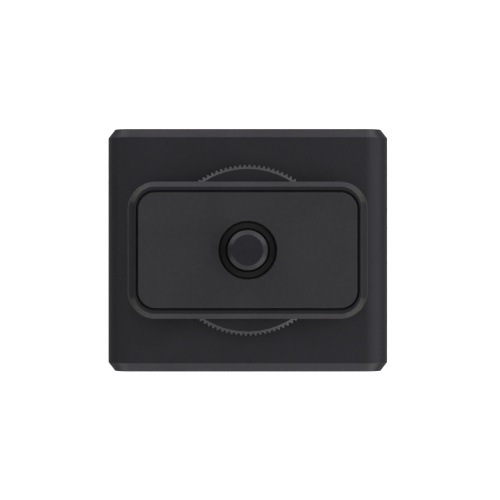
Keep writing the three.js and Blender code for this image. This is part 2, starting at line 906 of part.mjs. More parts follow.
const portStart = -boardHalf - portReach;
function usbReceptacle() {
  const y = boardFront - gap - usbPort.thickness / 2;
  const z = cavity.middle - usbPort.drop;
  const shellOutline = roundedRectangle(usbPort.thickness, usbPort.width, usbPort.thickness / 2, y, z);
  const holeOutline = roundedRectangle(
    usbPort.thickness - 2 * usbPort.shell,
    usbPort.width - 2 * usbPort.shell,
    usbPort.thickness / 2,
    y,
    z,
  );
  const end = portStart + usbPort.length;
  const shell = cut(
    extruded(shellOutline, "X", portStart, end, { arcSteps: 4 }),
    extruded(holeOutline, "X", portStart - past, end - usbPort.backWall, { arcSteps: 4 }),
  );
  const tongue = box(
    portStart + usbPort.tongueSetback,
    end - usbPort.backWall / 2,
    y - usbPort.tongueThickness / 2,
    y + usbPort.tongueThickness / 2,
    z - usbPort.width / 2 + usbPort.tongueSideMargin,
    z + usbPort.width / 2 - usbPort.tongueSideMargin,
  );
  return join(shell, tongue);
}
add("usb_port", usbReceptacle(), finishes.steel);

const cardY = boardFront - gap - cardSlot.thickness / 2;
const cardZ = cavity.middle + cardSlot.rise;
const cardEnd = portStart + cardSlot.length - cardSlot.backWall - gap;
add(
  "card_slot",
  cut(
    box(
      portStart,
      portStart + cardSlot.length,
      cardY - cardSlot.thickness / 2,
      cardY + cardSlot.thickness / 2,
      cardZ - cardSlot.width / 2,
      cardZ + cardSlot.width / 2,
    ),
    box(
      portStart - past,
      portStart + cardSlot.length - cardSlot.backWall,
      cardY - memoryCard.thickness / 2 - gap,
      cardY + memoryCard.thickness / 2 + gap,
      cardZ - memoryCard.width / 2 - gap,
      cardZ + memoryCard.width / 2 + gap,
    ),
  ),
  finishes.steel,
);
add(
  "memory_card",
  box(
    cardEnd - memoryCard.length,
    cardEnd,
    cardY - memoryCard.thickness / 2,
    cardY + memoryCard.thickness / 2,
    cardZ - memoryCard.width / 2,
    cardZ + memoryCard.width / 2,
  ),
  finishes.blackPlastic,
);

// ---------------------------------------------------------------- display, microphone, light and speaker

add(
  "display_glass",
  extruded(
    roundedRectangle(display.glassWidth, display.glassHeight, display.cornerRadius, 0, displayMiddle),
    "Y",
    glassFace - display.glassThickness,
    glassFace,
    { bevelLength: display.glassBevel, arcSteps: 5 },
  ),
  finishes.glass,
);
add(
  "display_module",
  box(
    -display.glassWidth / 2 + display.moduleSideMargin,
    display.glassWidth / 2 - display.moduleSideMargin,
    displayFront,
    displayBack,
    displayMiddle - display.glassHeight / 2 + display.windowMargin / 2,
    displayMiddle + display.glassHeight / 2 - display.windowMargin / 2,
  ),
  finishes.chip,
);
add(
  "microphone",
  box(
    microphonePlace[0] - microphone.width / 2,
    microphonePlace[0] + microphone.width / 2,
    -coverBack + gap,
    -coverBack + gap + microphone.thickness,
    microphonePlace[1] - microphone.height / 2,
    microphonePlace[1] + microphone.height / 2,
  ),
  finishes.brass,
);
add(
  "status_light",
  join(
    rod("Y", statusLight.radius, -coverFace, -coverBack + gap, ...lightPlace, 16),
    rod(
      "Y",
      statusLight.flangeRadius,
      -coverBack + gap / 2,
      -coverBack + statusLight.flangeThickness,
      ...lightPlace,
      16,
    ),
  ),
  finishes.lightPipe,
);
add(
  "speaker",
  box(
    chassisHalf - gap - speaker.thickness,
    chassisHalf - gap,
    speakerY - speaker.depth / 2,
    speakerY + speaker.depth / 2,
    cavity.middle - speaker.height / 2,
    cavity.middle + speaker.height / 2,
  ),
  finishes.chip,
);

// ---------------------------------------------------------------- buttons

const flangeOuter = wallInside - gap;
const flangeInner = flangeOuter - button.flangeThickness;
const sealOuter = flangeInner - button.travel - gap;
const sealInner = sealOuter - button.sealThickness;
const switchTop = sealInner - gap;
const switchBase = switchTop - button.switchHeight;

function pushButton({ radius, rise }) {
  const z = cavity.middle + rise;
  const crown = halfWidth + button.proud;
  return turned(
    [
      [radius + button.flangeWidth, flangeInner],
      [radius + button.flangeWidth, flangeOuter],
      [radius, flangeOuter],
      [radius, crown - button.crownChamfer],
      [radius - button.crownChamfer, crown],
    ],
    "X",
    buttonY,
    z,
    { sides: 32 },
  );
}
for (const [name, b] of Object.entries({ shutter, power })) {
  const z = cavity.middle + b.rise;
  add(`${name}_button`, pushButton(b), finishes.anodisedDark);
  add(
    `${name}_seal`,
    rod("X", b.radius + button.flangeWidth, sealInner, sealOuter, buttonY, z, 24),
    finishes.silicone,
  );
  add(
    `${name}_switch`,
    join(
      box(
        switchBase,
        switchTop - button.plungerHeight,
        buttonY - button.switchSide / 2,
        buttonY + button.switchSide / 2,
        z - button.switchSide / 2,
        z + button.switchSide / 2,
      ),
      rod("X", button.switchSide / 4, switchTop - button.plungerHeight - overlap, switchTop, buttonY, z, 16),
    ),
    finishes.steel,
  );
}
add(
  "button_board",
  box(
    switchBase - gap - button.boardThickness,
    switchBase - gap,
    buttonY - button.switchSide / 2 - button.boardMargin,
    buttonY + button.switchSide / 2 + button.boardMargin,
    cavity.middle + power.rise - button.switchSide / 2 - button.boardMargin,
    cavity.middle + shutter.rise + button.switchSide / 2 + button.boardMargin,
  ),
  finishes.circuit,
);

// ---------------------------------------------------------------- side door

// The door's seal lies round its plug, in a groove in the plug's face.
const sealBand = (grow, from, to) =>
  extruded(
    roundedRectangle(
      plugRear - plugFront - 2 * seal.inset + 2 * grow,
      2 * plugHalf - 2 * seal.inset + 2 * grow,
      seal.cornerRadius,
      (plugRear + plugFront) / 2,
      cavity.middle,
    ),
    "X",
    from,
    to,
    { arcSteps: 3 },
  );
const plugFace = doorInner + door.plugDepth;
const sealFace = portPlate - gap;
const sealFloor = sealFace - seal.thickness;
const sealGroove = () =>
  cut(
    sealBand(gap, sealFloor - gap, plugFace + past),
    sealBand(-seal.width - gap, sealFloor - past, plugFace + 2 * past),
  );

function sideDoor() {
  const panel = doorSlab(0, doorOuter, doorInner);
  const z0 = cavity.middle - door.height / 2;
  const z1 = cavity.middle + door.height / 2;
  // The rear edge is a round knuckle on the pin, so that it turns inside the doorway.
  const pastPin = box(
    doorOuter - past,
    doorInner + past,
    hingeY,
    doorRear + past,
    z0 - past,
    z1 + past,
  );
  const knuckle = rod("Z", knuckleRadius, z0, z1, hingeX, hingeY, 24);
  const plug = extruded(
    roundedRectangle(
      plugRear - plugFront,
      2 * plugHalf,
      door.plugCornerRadius,
      (plugRear + plugFront) / 2,
      cavity.middle,
    ),
    "X",
    doorInner - overlap,
    doorInner + door.plugDepth,
    { arcSteps: 3 },
  );
  const pinRadius = hingePin.radius + hingePin.clearance;
  const pinHole = rod("Z", pinRadius, z0 - past, z1 + past, hingeX, hingeY, 12);
  const thumbPocket = extruded(
    roundedRectangle(
      latch.thumbWidth + 2 * slip,
      latch.thumbLength + latch.travel + 2 * slip,
      latch.pocketCornerRadius,
      latchY,
      cavity.middle + latch.travel / 2,
    ),
    "X",
    doorOuter - past,
    doorOuter + latch.pocketDepth,
    { arcSteps: 3 },
  );
  const neckSlot = extruded(
    roundedRectangle(
      latch.neckWidth + 2 * slip,
      latch.neckLength + latch.travel + 2 * slip,
      latch.slotCornerRadius,
      latchY,
      cavity.middle + latch.travel / 2,
    ),
    "X",
    doorOuter - past,
    doorInner + past,
    { arcSteps: 2 },
  );
  return cut(join(cut(panel, pastPin), knuckle, plug), sealGroove(), pinHole, thumbPocket, neckSlot);
}

add("side_door", sideDoor(), finishes.anodised);
add(
  "door_seal",
  cut(sealBand(0, sealFloor, sealFace), sealBand(-seal.width, sealFloor - past, sealFace + past)),
  finishes.silicone,
);
add(
  "door_hinge_pin",
  rod(
    "Z",
    hingePin.radius,
    cavity.middle - door.height / 2 - hingePin.embed,
    cavity.middle + door.height / 2 + hingePin.embed,
    hingeX,
    hingeY,
    12,
  ),
  finishes.steel,
);

const thumbFloor = doorOuter + latch.pocketDepth - gap;
function latchThumb() {
  const key = extruded(
    roundedRectangle(latch.thumbWidth, latch.thumbLength, latch.thumbCornerRadius, latchY, cavity.middle),
    "X",
    doorOuter - latch.thumbProud,
    thumbFloor,
    { arcSteps: 3 },
  );
  const neck = box(
    thumbFloor - overlap,
    doorInner + gap / 2,
    latchY - latch.neckWidth / 2,
    latchY + latch.neckWidth / 2,
    cavity.middle - latch.neckLength / 2,
    cavity.middle + latch.neckLength / 2,
  );
  const grips = [-1, 0, 1].map((i) =>
    box(
      doorOuter - latch.thumbProud - past,
      doorOuter - latch.thumbProud + latch.gripDepth,
      latchY - latch.thumbWidth,
      latchY + latch.thumbWidth,
      cavity.middle + latch.gripPitch * i - latch.gripWidth / 2,
      cavity.middle + latch.gripPitch * i + latch.gripWidth / 2,
    ),
  );
  return cut(join(key, neck), ...grips);
}
add("latch_thumb", latchThumb(), finishes.anodisedDark);
const boltTop = cavity.middle + door.height / 2 - gap;
add(
  "latch_bolt",
  box(
    doorInner + gap,
    doorInner + gap + latch.boltThickness,
    latchY - latch.boltWidth / 2,
    latchY + latch.boltWidth / 2,
    boltTop - latch.boltLength,
    boltTop,
  ),
  finishes.steel,
);

// ---------------------------------------------------------------- foot

add(
  "foot_pad",
  cut(
    extruded(
      roundedRectangle(foot.width, foot.depth, foot.cornerRadius),
      "Z",
      0,
      foot.thickness - gap / 2,
      { arcSteps: 5 },
    ),
    rod("Z", foot.holeRadius, -past, foot.thickness + past),
  ),
  finishes.rubber,
);
const socketBottom = bottom + gap;
add(
  "tripod_socket",
  cut(
    turned(
      [
        [socket.bodyRadius, socketBottom],
        [socket.bodyRadius, cavity.bottom + gap],
        [socket.flangeRadius, cavity.bottom + gap],
        [socket.flangeRadius, cavity.bottom + gap + socket.flangeThickness],
        [socket.bodyRadius, cavity.bottom + gap + socket.flangeThickness],
        [socket.bodyRadius, socketBottom + socket.length],
      ],
      "Z",
      0,
      0,
      { sides: 36 },
    ),
    rod("Z", socket.boreRadius, socketBottom - past, socketBottom + socket.length - socket.endWall, 0, 0, 24),
  ),
  finishes.steel,
);
baseScrewPlaces.forEach(([x, y], i) => {
  add(
    `base_screw_${i + 1}`,
    socketScrew("Z", footSeat, footSeat + baseScrew.length, baseScrew, x, y),
    finishes.steel,
  );
});

// ---------------------------------------------------------------- thumbscrew platform

const platformOutline = (inset) =>
  roundedRectangle(2 * (platformHalf - inset), platform.depth - 2 * inset, platform.cornerRadius - inset);
const padInset = platform.chamferInset + platform.rim;

function platformBridge() {
  // Above a small shoulder at each end the plate is a little shorter, and just as deep.
  const hidden = top - 2 * platform.chamferHeight;
  const lower = extruded(platformOutline(0), "Z", hidden, plateTop - platform.chamferHeight, {
    bevelLength: platform.shoulderHeight,
    bevelInset: platform.shoulderInset,
    arcSteps: 8,
  });
  const upperLength = 2 * (platformHalf - platform.shoulderInset);
  const upperOutline = roundedRectangle(upperLength, platform.depth, platform.shoulderCorner);
  const upper = extruded(upperOutline, "Z", hidden, plateTop, {
    bevelLength: platform.chamferHeight,
    bevelInset: platform.chamferInset,
    arcSteps: 8,
  });
  const block = join(lower, upper);
  const underneath = top - platform.depth;
  const beside = platformHalf + past;
  const belowTop = box(-beside, beside, -platform.depth, platform.depth, underneath, top);
  const wheelSlot = box(-slotHalf, slotHalf, -platform.depth, platform.depth, underneath, plateBottom);
  const padPocket = extruded(platformOutline(padInset), "Z", padSeat, plateTop + past, { arcSteps: 5 });
  const bushHole = rod("Z", screwBush.outerRadius + gap / 2, plateBottom - past, plateTop + past, 0, 0, 40);
  const headSeat = padSeat - platformScrew.headHeight - 2 * gap;
  const screwHoles = platformScrewPlaces.flatMap(([x, y]) => [
    rod("Z", platformScrew.radius + gap, top - past, plateTop, x, y, 12),
    rod("Z", platformScrew.headRadius + gap, headSeat, plateTop, x, y, 20),
  ]);
  return cut(block, belowTop, wheelSlot, padPocket, bushHole, ...screwHoles);
}
add("platform_bridge", platformBridge(), finishes.anodised);

add(
  "platform_pad",
  cut(
    extruded(platformOutline(padInset + pad.groove), "Z", padSeat + gap / 2, padTop, {
      bevelLength: pad.edgeBevel,
      arcSteps: 5,
    }),
    rod("Z", pad.holeRadius, padSeat - past, padTop + past, 0, 0, 40),
  ),
  finishes.rubber,
);
platformScrewPlaces.forEach(([x, y], i) => {
  add(
    `platform_screw_${i + 1}`,
    socketScrew("Z", padSeat - gap, top - platformScrew.engagement, platformScrew, x, y),
    finishes.steel,
  );
});
add(
  "screw_bush",
  ring("Z", screwBush.outerRadius, screwBush.innerRadius, plateBottom, padTop - screwBush.below, 0, 0, 40),
  finishes.blackAcetal,
);

const hexagon = (acrossFlats) => {
  const reach = acrossFlats / 2 / Math.cos(Math.PI / 6);
  const corner = (i) => [reach * Math.cos((i * Math.PI) / 3), reach * Math.sin((i * Math.PI) / 3)];
  return new THREE.Shape([0, 1, 2, 3, 4, 5].map((i) => new THREE.Vector2(...corner(i))));
};

function thumbWheel() {
  const outline = new THREE.Shape();
  for (let i = 0; i < wheel.teeth; i++) {
    const tip = (2 * Math.PI * i) / wheel.teeth;
    const root = tip + Math.PI / wheel.teeth;
    const tipPoint = [wheel.radius * Math.cos(tip), wheel.radius * Math.sin(tip)];
    const rootRadius = wheel.radius - wheel.toothDepth;
    const rootPoint = [rootRadius * Math.cos(root), rootRadius * Math.sin(root)];
    if (i === 0) outline.moveTo(...tipPoint);
    else outline.lineTo(...tipPoint);
    outline.lineTo(...rootPoint);
  }
  const knurled = extruded(outline, "Z", wheelBottom, wheelTop);
  const inset = wheel.radius - wheel.edgeChamferRadial;
  const outside = wheel.radius + overlap;
  const chamfered = turned(
    [
      [inset, wheelBottom],
      [outside, wheelBottom + wheel.edgeChamferAxial],
      [outside, wheelTop - wheel.edgeChamferAxial],
      [inset, wheelTop],
    ],
    "Z",
    0,
    0,
    { sides: wheel.teeth },
  );
  const hexHole = extruded(hexagon(screw.hexAcrossFlats + gap), "Z", wheelBottom - past, wheelTop + past);
  return cut(knurled.intersect(chamfered), hexHole);
}
add("thumb_wheel", thumbWheel(), finishes.anodisedDark);

function cameraScrew() {
  const threadStart = plateBottom + threadShape.runOut;
  const tipStart = screwTop - (screw.radius - screw.tipRadius);
  const turnsOfThread = Math.floor((tipStart - threadStart) / screw.pitch);
  const rootRadius = screw.radius - screw.threadDepth;
  const crests = [...Array(turnsOfThread).keys()].flatMap((i) => {
    const from = tipStart - (turnsOfThread - i) * screw.pitch;
    return [
      [rootRadius, from],
      [screw.radius, from + screw.pitch * threadShape.crestFrom],
      [screw.radius, from + screw.pitch * threadShape.crestTo],
    ];
  });
  const profile = [
    [rootRadius, wheelTop - overlap],
    ...crests,
    [rootRadius, tipStart - overlap],
    [screw.radius, tipStart],
    [screw.tipRadius, screwTop],
  ];
  const thread = turned(profile, "Z", 0, 0, { sides: 20 });
  const hub = extruded(hexagon(screw.hexAcrossFlats), "Z", wheelBottom, wheelTop);
  const grooveTop = cavity.top - bearing.flangeThickness - gap;
  const journal = turned(
    [
      [screw.journalRadius, grooveTop - clip.thickness - gap - screw.tail],
      [screw.journalRadius, grooveTop - clip.thickness - gap],
      [clip.grooveRadius, grooveTop - clip.thickness - gap],
      [clip.grooveRadius, grooveTop],
      [screw.journalRadius, grooveTop],
      [screw.journalRadius, wheelBottom + overlap],
    ],
    "Z",
    0,
    0,
    { sides: 28 },
  );
  return join(thread, hub, journal);
}
add("camera_screw", cameraScrew(), finishes.steel);

add(
  "bearing_bush",
  turned(
    [
      [bearing.flangeRadius, cavity.top - bearing.flangeThickness],
      [bearing.flangeRadius, cavity.top - gap / 2],
      [bearing.outerRadius, cavity.top - gap / 2],
      [bearing.outerRadius, top],
    ],
    "Z",
    0,
    0,
    { bore: screw.journalRadius + slip / 2, sides: 32 },
  ),
  finishes.brass,
);
add(
  "thrust_washer",
  ring("Z", washer.outerRadius, screw.journalRadius + slip, top, top + washer.thickness),
  finishes.blackAcetal,
);
function retainingClip() {
  const zTop = cavity.top - bearing.flangeThickness - gap - gap / 2;
  const zBottom = zTop - clip.thickness;
  const full = ring("Z", clip.outerRadius, clip.grooveRadius + gap / 2, zBottom, zTop, 0, 0, 28);
  const mouth = box(
    -clip.mouth / 2,
    clip.mouth / 2,
    0,
    clip.outerRadius + past,
    zBottom - past,
    zTop + past,
  );
  return cut(full, mouth);
}
add("retaining_clip", retainingClip(), finishes.steel);

export default camera;
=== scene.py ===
# %% [markdown]
# # A cube-shaped action camera with a thumbscrew platform
# The housing is a short aluminium tube with a cover at each end. A platform stands on its top face: a
# padded plate on two legs, a knurled wheel in the gap under it, and a camera screw through its middle.
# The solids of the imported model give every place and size. This script makes the fine surfaces, the
# finishes, the studio and the camera.

import math

import bmesh
import bpy
from mathutils import Matrix, Vector


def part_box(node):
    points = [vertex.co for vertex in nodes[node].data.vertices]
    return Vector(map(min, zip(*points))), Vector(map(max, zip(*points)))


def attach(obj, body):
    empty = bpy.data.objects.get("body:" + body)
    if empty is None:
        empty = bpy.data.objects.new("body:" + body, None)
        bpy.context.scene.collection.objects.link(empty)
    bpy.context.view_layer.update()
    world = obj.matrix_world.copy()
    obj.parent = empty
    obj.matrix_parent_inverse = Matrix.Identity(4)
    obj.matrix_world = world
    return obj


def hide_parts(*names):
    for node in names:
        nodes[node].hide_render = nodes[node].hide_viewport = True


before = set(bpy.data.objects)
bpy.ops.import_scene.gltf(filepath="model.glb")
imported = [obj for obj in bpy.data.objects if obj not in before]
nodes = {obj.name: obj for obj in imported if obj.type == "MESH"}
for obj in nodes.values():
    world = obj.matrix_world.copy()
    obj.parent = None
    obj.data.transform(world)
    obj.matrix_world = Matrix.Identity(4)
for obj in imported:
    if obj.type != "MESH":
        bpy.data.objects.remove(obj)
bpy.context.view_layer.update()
scene = bpy.context.scene
MM = 0.001

# %% [markdown]
# ## Driving sizes
# Most sizes are read off the solids' own boxes. The few below are radii, chamfers and wall thicknesses
# that a box can't tell. They are the same as the solids'.

# %% Sizes that the boxes don't hold
GAP = 0.1 * MM
SLIP = 0.15 * MM
HOUSING_CORNER = 4 * MM
HOUSING_CHAMFER = (1.43 * MM, 1.1 * MM)
WALLS = {"side": 2 * MM, "top": 3 * MM, "bottom": 2.6 * MM}
PLATE_CORNER = 4.5 * MM
PLATE_CHAMFER = 0.86 * MM
SHOULDER_HEIGHT = 0.6 * MM
SHOULDER_INSET = 0.3 * MM
SHOULDER_CORNER = 4.15 * MM
PLATE_RIM = 0.6 * MM
PAD_GROOVE = 0.34 * MM
PAD_HOLE = 4.67 * MM
FOOT_CORNER = 4 * MM
DOOR_CORNER = 2.4 * MM
DOOR_CLEARANCE = 0.25 * MM
BUTTON_FLANGE = 0.8 * MM
FINE_EDGE = 0.09 * MM


def centre_of(low, high):
    """The centre of a box, as (x, y, z)."""
    return tuple((a + b) / 2 for a, b in zip(low, high))


housing_low, housing_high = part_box("housing_sleeve")
plate_low, plate_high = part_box("platform_bridge")
pad_low, pad_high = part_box("platform_pad")
wheel_low, wheel_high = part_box("thumb_wheel")
screw_low, screw_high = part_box("camera_screw")
TOP = housing_high.z
print("housing top at", round(TOP / MM, 2), "mm, screw tip at", round(screw_high.z / MM, 2), "mm")

# %% [markdown]
# ## The camera
# The view is straight down on the platform. A long lens from about 36 cm keeps the edges nearly parallel.
# The lens stands almost over the middle, so all levels of the platform look centred on each other.

# %% Camera
LENS_DISTANCE = 363 * MM
LENS_ANGLE = math.radians(12.906)
aim = Vector((0.36 * MM, 0.04 * MM, TOP))
stand = Vector((0.5 * MM, -0.3 * MM, TOP + LENS_DISTANCE))
camera_data = bpy.data.cameras.new("camera")
camera_data.angle = LENS_ANGLE
camera_data.clip_start = 10 * MM
camera_data.clip_end = 20
camera = bpy.data.objects.new("camera", camera_data)
camera.location = stand
camera.rotation_euler = (
    math.atan2(aim.y - stand.y, LENS_DISTANCE),
    math.atan2(stand.x - aim.x, LENS_DISTANCE),
    0,
)
scene.collection.objects.link(camera)
scene.camera = camera
scene.view_settings.view_transform = "Standard"
print("camera stands", round(LENS_DISTANCE / MM), "mm above the housing")

# %% [markdown]
# ## The studio
# Dark metal shows little of its own colour: it shows the lamps. A wide soft lamp overhead lights the flat
# faces. A ring of eight low panels stands all round, and each chamfer shows the panel that it leans towards.
# The ring is a little warm, and weakest on the left, so chamfers there stay dark. Higher panels at the sides
# fill the round edges, and the right one is the stronger, so that side has a pale edge.
# The floor is a pale light table. It glows towards the lens, so the background stays clean, while mirrored
# rays meet only its plain grey paint. Four small helpers for shader nodes come first: every later finish
# uses them.


# %% Lamps, world and floor
def set_inputs(node, values):
    for label, value in values.items():
        node.inputs[label].default_value = value


def add_node(tree, kind, values=None):
    """Adds a shader node and sets the values of its inputs, by label or number."""
    node = tree.nodes.new("ShaderNode" + kind)
    set_inputs(node, values or {})
    return node


def wire(tree, *pairs):
    """Joins each output socket to its input socket."""
    for start, end in pairs:
        tree.links.new(start, end)


def new_material(name, values):
    """A material, its node tree and its Principled shader with some inputs set."""
    material = bpy.data.materials.new(name)
    material.use_nodes = True
    shader = material.node_tree.nodes["Principled BSDF"]
    set_inputs(shader, values)
    return material, material.node_tree, shader


AIM = Vector((0, 0, TOP / 2))
# Each high lamp: where it stands, its width, its height and its power.
HIGH_LAMPS = {
    "overhead": ((0, 0, 1.3), 1.2, 1.2, 3.7),
    "left": ((-0.75, 0, 0.65), 1.2, 0.9, 1.9),
    "right": ((0.75, 0.05, 0.65), 1.2, 0.9, 4.6),
}
# The low ring: the power of the lamp at each angle, and what all eight share.
RING_POWERS = {0: 0.8, 45: 3.7, 90: 2.7, 135: 3.8, 180: 0.05, 225: 2.8, 270: 2.5, 315: 4.3}
RING_DISTANCE, RING_HEIGHT = 0.9, 0.12
RING_WIDTH, RING_TALL = 0.75, 0.3
RING_TINT = (1.0, 0.99, 0.96)
WORLD_STRENGTH = 0.1
TABLE_PAINT = (0.42, 0.42, 0.42, 1)


def softbox(name, spot, width, height, power, tint=(1, 1, 1)):
    """A soft rectangular lamp that faces the camera body."""
    data = bpy.data.lights.new(name, "AREA")
    data.shape = "RECTANGLE"
    data.size = width
    data.size_y = height
    data.energy = power
    data.color = tint
    lamp = bpy.data.objects.new(name, data)
    lamp.location = spot
    lamp.rotation_euler = (AIM - Vector(spot)).to_track_quat("-Z", "Y").to_euler()
    scene.collection.objects.link(lamp)


for name, (spot, width, height, power) in HIGH_LAMPS.items():
    softbox(name, spot, width, height, power)
for degrees, power in RING_POWERS.items():
    turn = math.radians(degrees)
    spot = (RING_DISTANCE * math.cos(turn), RING_DISTANCE * math.sin(turn), RING_HEIGHT)
    softbox(f"ring_{degrees}", spot, RING_WIDTH, RING_TALL, power, RING_TINT)

world = bpy.data.worlds.new("studio")
world.use_nodes = True
set_inputs(world.node_tree.nodes["Background"], {"Color": (1, 1, 1, 1), "Strength": WORLD_STRENGTH})
scene.world = world


def light_table():
    """Pale paint that glows towards the lens."""
    material, tree, paint = new_material("light_table", {"Base Color": TABLE_PAINT, "Roughness": 0.8})
    glow = add_node(tree, "Emission", {"Strength": 1.0})
    both = add_node(tree, "AddShader")
    choose = add_node(tree, "MixShader")
    rays = add_node(tree, "LightPath")
    wire(
        tree,
        (paint.outputs[0], both.inputs[0]),
        (glow.outputs[0], both.inputs[1]),
        (rays.outputs["Is Camera Ray"], choose.inputs[0]),
        (paint.outputs[0], choose.inputs[1]),
        (both.outputs[0], choose.inputs[2]),
        (choose.outputs[0], tree.nodes["Material Output"].inputs[0]),
    )
    return material


floor_shape = bmesh.new()
bmesh.ops.create_grid(floor_shape, x_segments=1, y_segments=1, size=6)
floor_mesh = bpy.data.meshes.new("floor")
floor_shape.to_mesh(floor_mesh)
floor_shape.free()
floor = bpy.data.objects.new("floor", floor_mesh)
floor.data.materials.append(light_table())
scene.collection.objects.link(floor)
print("studio:", len(HIGH_LAMPS) + len(RING_POWERS), "lamps and a light table")

# %% [markdown]
# ## Effects that several finishes share
# A node group is an effect built once and used in many materials. `surface_grain` gives a fine grain for
# blasted metal, rubber and moulded plastic. `handling_marks` gives the slow, cloudy changes that handling
# leaves in the gloss. `turning_marks` gives the fine rings that a lathe tool leaves round an axis.


# %% Node groups
def effect(name, inputs, outputs):
    """An empty node group, with its input and output nodes."""
    group = bpy.data.node_groups.new(name, "ShaderNodeTree")
    for label, value in inputs.items():
        socket = group.interface.new_socket(name=label, in_out="INPUT", socket_type="NodeSocketFloat")
        socket.default_value = value
    for label in outputs:
        group.interface.new_socket(name=label, in_out="OUTPUT", socket_type="NodeSocketFloat")
    return group, group.nodes.new("NodeGroupInput"), group.nodes.new("NodeGroupOutput")


def surface_grain():
    group, given, made = effect("surface_grain", {"Scale": 6000.0}, ["Grain", "Speckle"])
    spot = add_node(group, "TexCoord")
    fine = add_node(group, "TexNoise", {"Detail": 3, "Roughness": 0.65})
    coarse = add_node(group, "TexNoise", {"Detail": 1})
    third = add_node(group, "Math", {1: 0.33})
    third.operation = "MULTIPLY"
    wire(
        group,
        (given.outputs["Scale"], third.inputs[0]),
        (spot.outputs["Object"], fine.inputs["Vector"]),
        (given.outputs["Scale"], fine.inputs["Scale"]),
        (spot.outputs["Object"], coarse.inputs["Vector"]),
        (third.outputs[0], coarse.inputs["Scale"]),
        (fine.outputs["Fac"], made.inputs["Grain"]),
        (coarse.outputs["Fac"], made.inputs["Speckle"]),
    )
    return group


def handling_marks():
    group, given, made = effect("handling_marks", {"Scale": 90.0}, ["Cloud"])
    spot = add_node(group, "TexCoord")
    cloud = add_node(group, "TexNoise", {"Detail": 4, "Distortion": 0.6})
    wire(
        group,
        (spot.outputs["Object"], cloud.inputs["Vector"]),
        (given.outputs["Scale"], cloud.inputs["Scale"]),
        (cloud.outputs["Fac"], made.inputs["Cloud"]),
    )
    return group


def turning_marks(axis):
    group, given, made = effect(f"turning_marks_{axis.lower()}", {"Scale": 900.0, "Height": 0.0}, ["Rings"])
    spot = add_node(group, "TexCoord")
    centre = add_node(group, "VectorMath")
    centre.operation = "SUBTRACT"
    offset = add_node(group, "CombineXYZ")
    rings = add_node(group, "TexWave", {"Distortion": 0.4, "Detail": 2})
    rings.wave_type = "RINGS"
    rings.rings_direction = axis
    wire(
        group,
        (given.outputs["Height"], offset.inputs["Z"]),
        (spot.outputs["Object"], centre.inputs[0]),
        (offset.outputs[0], centre.inputs[1]),
        (centre.outputs[0], rings.inputs["Vector"]),
        (given.outputs["Scale"], rings.inputs["Scale"]),
        (rings.outputs["Fac"], made.inputs["Rings"]),
    )
    return group


GRAIN = surface_grain()
MARKS = handling_marks()
RINGS = {axis: turning_marks(axis) for axis in "YZ"}
print("effects:", [g.name for g in bpy.data.node_groups])

# %% [markdown]
# ## The finishes
# Each finish is one Principled shader. Its colour, roughness and a little relief change over the surface,
# because a single flat value looks like plastic toy paint. The colour swings between two close tones with
# the grain, the roughness follows the handling marks, and the relief is the grain itself.


# %% A finish from its numbers
def shade(value, tint=(1, 1, 1)):
    return tuple(value * t for t in tint) + (1,)


def finish(
    name,
    colour,
    roughness,
    metallic=0.0,
    grain_size=6000.0,
    contrast=0.18,
    relief=0.25,
    depth=0.012 * MM,
    cloudiness=0.08,
    rings=None,
    specular=0.5,
):
    """A procedural finish. rings = (axis, rings per metre, height of the axis) adds lathe marks."""
    material, tree, shader = new_material(name, {"Metallic": metallic, "Specular IOR Level": specular})
    grain = add_node(tree, "Group")
    grain.node_tree = GRAIN
    grain.inputs["Scale"].default_value = grain_size
    marks = add_node(tree, "Group")
    marks.node_tree = MARKS
    tone = add_node(tree, "Mix")
    tone.data_type = "RGBA"
    for label, strength in (("A", 1 - contrast), ("B", 1 + contrast)):
        tone.inputs[label].default_value = tuple(c * strength for c in colour[:3]) + (1,)
    from_to = {"To Min": roughness - cloudiness, "To Max": roughness + cloudiness}
    gloss = add_node(tree, "MapRange", {"From Min": 0.3, "From Max": 0.7, **from_to})
    bump = add_node(tree, "Bump", {"Strength": relief, "Distance": depth})
    height = grain.outputs["Grain"]
    if rings:
        axis, per_metre, axis_height = rings
        lathe = add_node(tree, "Group")
        lathe.node_tree = RINGS[axis]
        set_inputs(lathe, {"Scale": per_metre, "Height": axis_height})
        both = add_node(tree, "Math")
        both.operation = "ADD"
        wire(tree, (lathe.outputs["Rings"], both.inputs[0]), (height, both.inputs[1]))
        height = both.outputs[0]
    wire(
        tree,
        (grain.outputs["Speckle"], tone.inputs["Factor"]),
        (tone.outputs["Result"], shader.inputs["Base Color"]),
        (marks.outputs["Cloud"], gloss.inputs["Value"]),
        (gloss.outputs["Result"], shader.inputs["Roughness"]),
        (height, bump.inputs["Height"]),
        (bump.outputs["Normal"], shader.inputs["Normal"]),
    )
    return material


# %% The finishes of this camera
VIOLET = (1.03, 1.0, 1.17)
COOL = (1.01, 1.0, 1.12)
lens_low, lens_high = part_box("lens_ring")
LENS_CENTRE = (0, 0, (lens_low.z + lens_high.z) / 2)
LATHE = {"top": ("Z", 1400, 0.0), "lens": ("Y", 1400, LENS_CENTRE[2])}

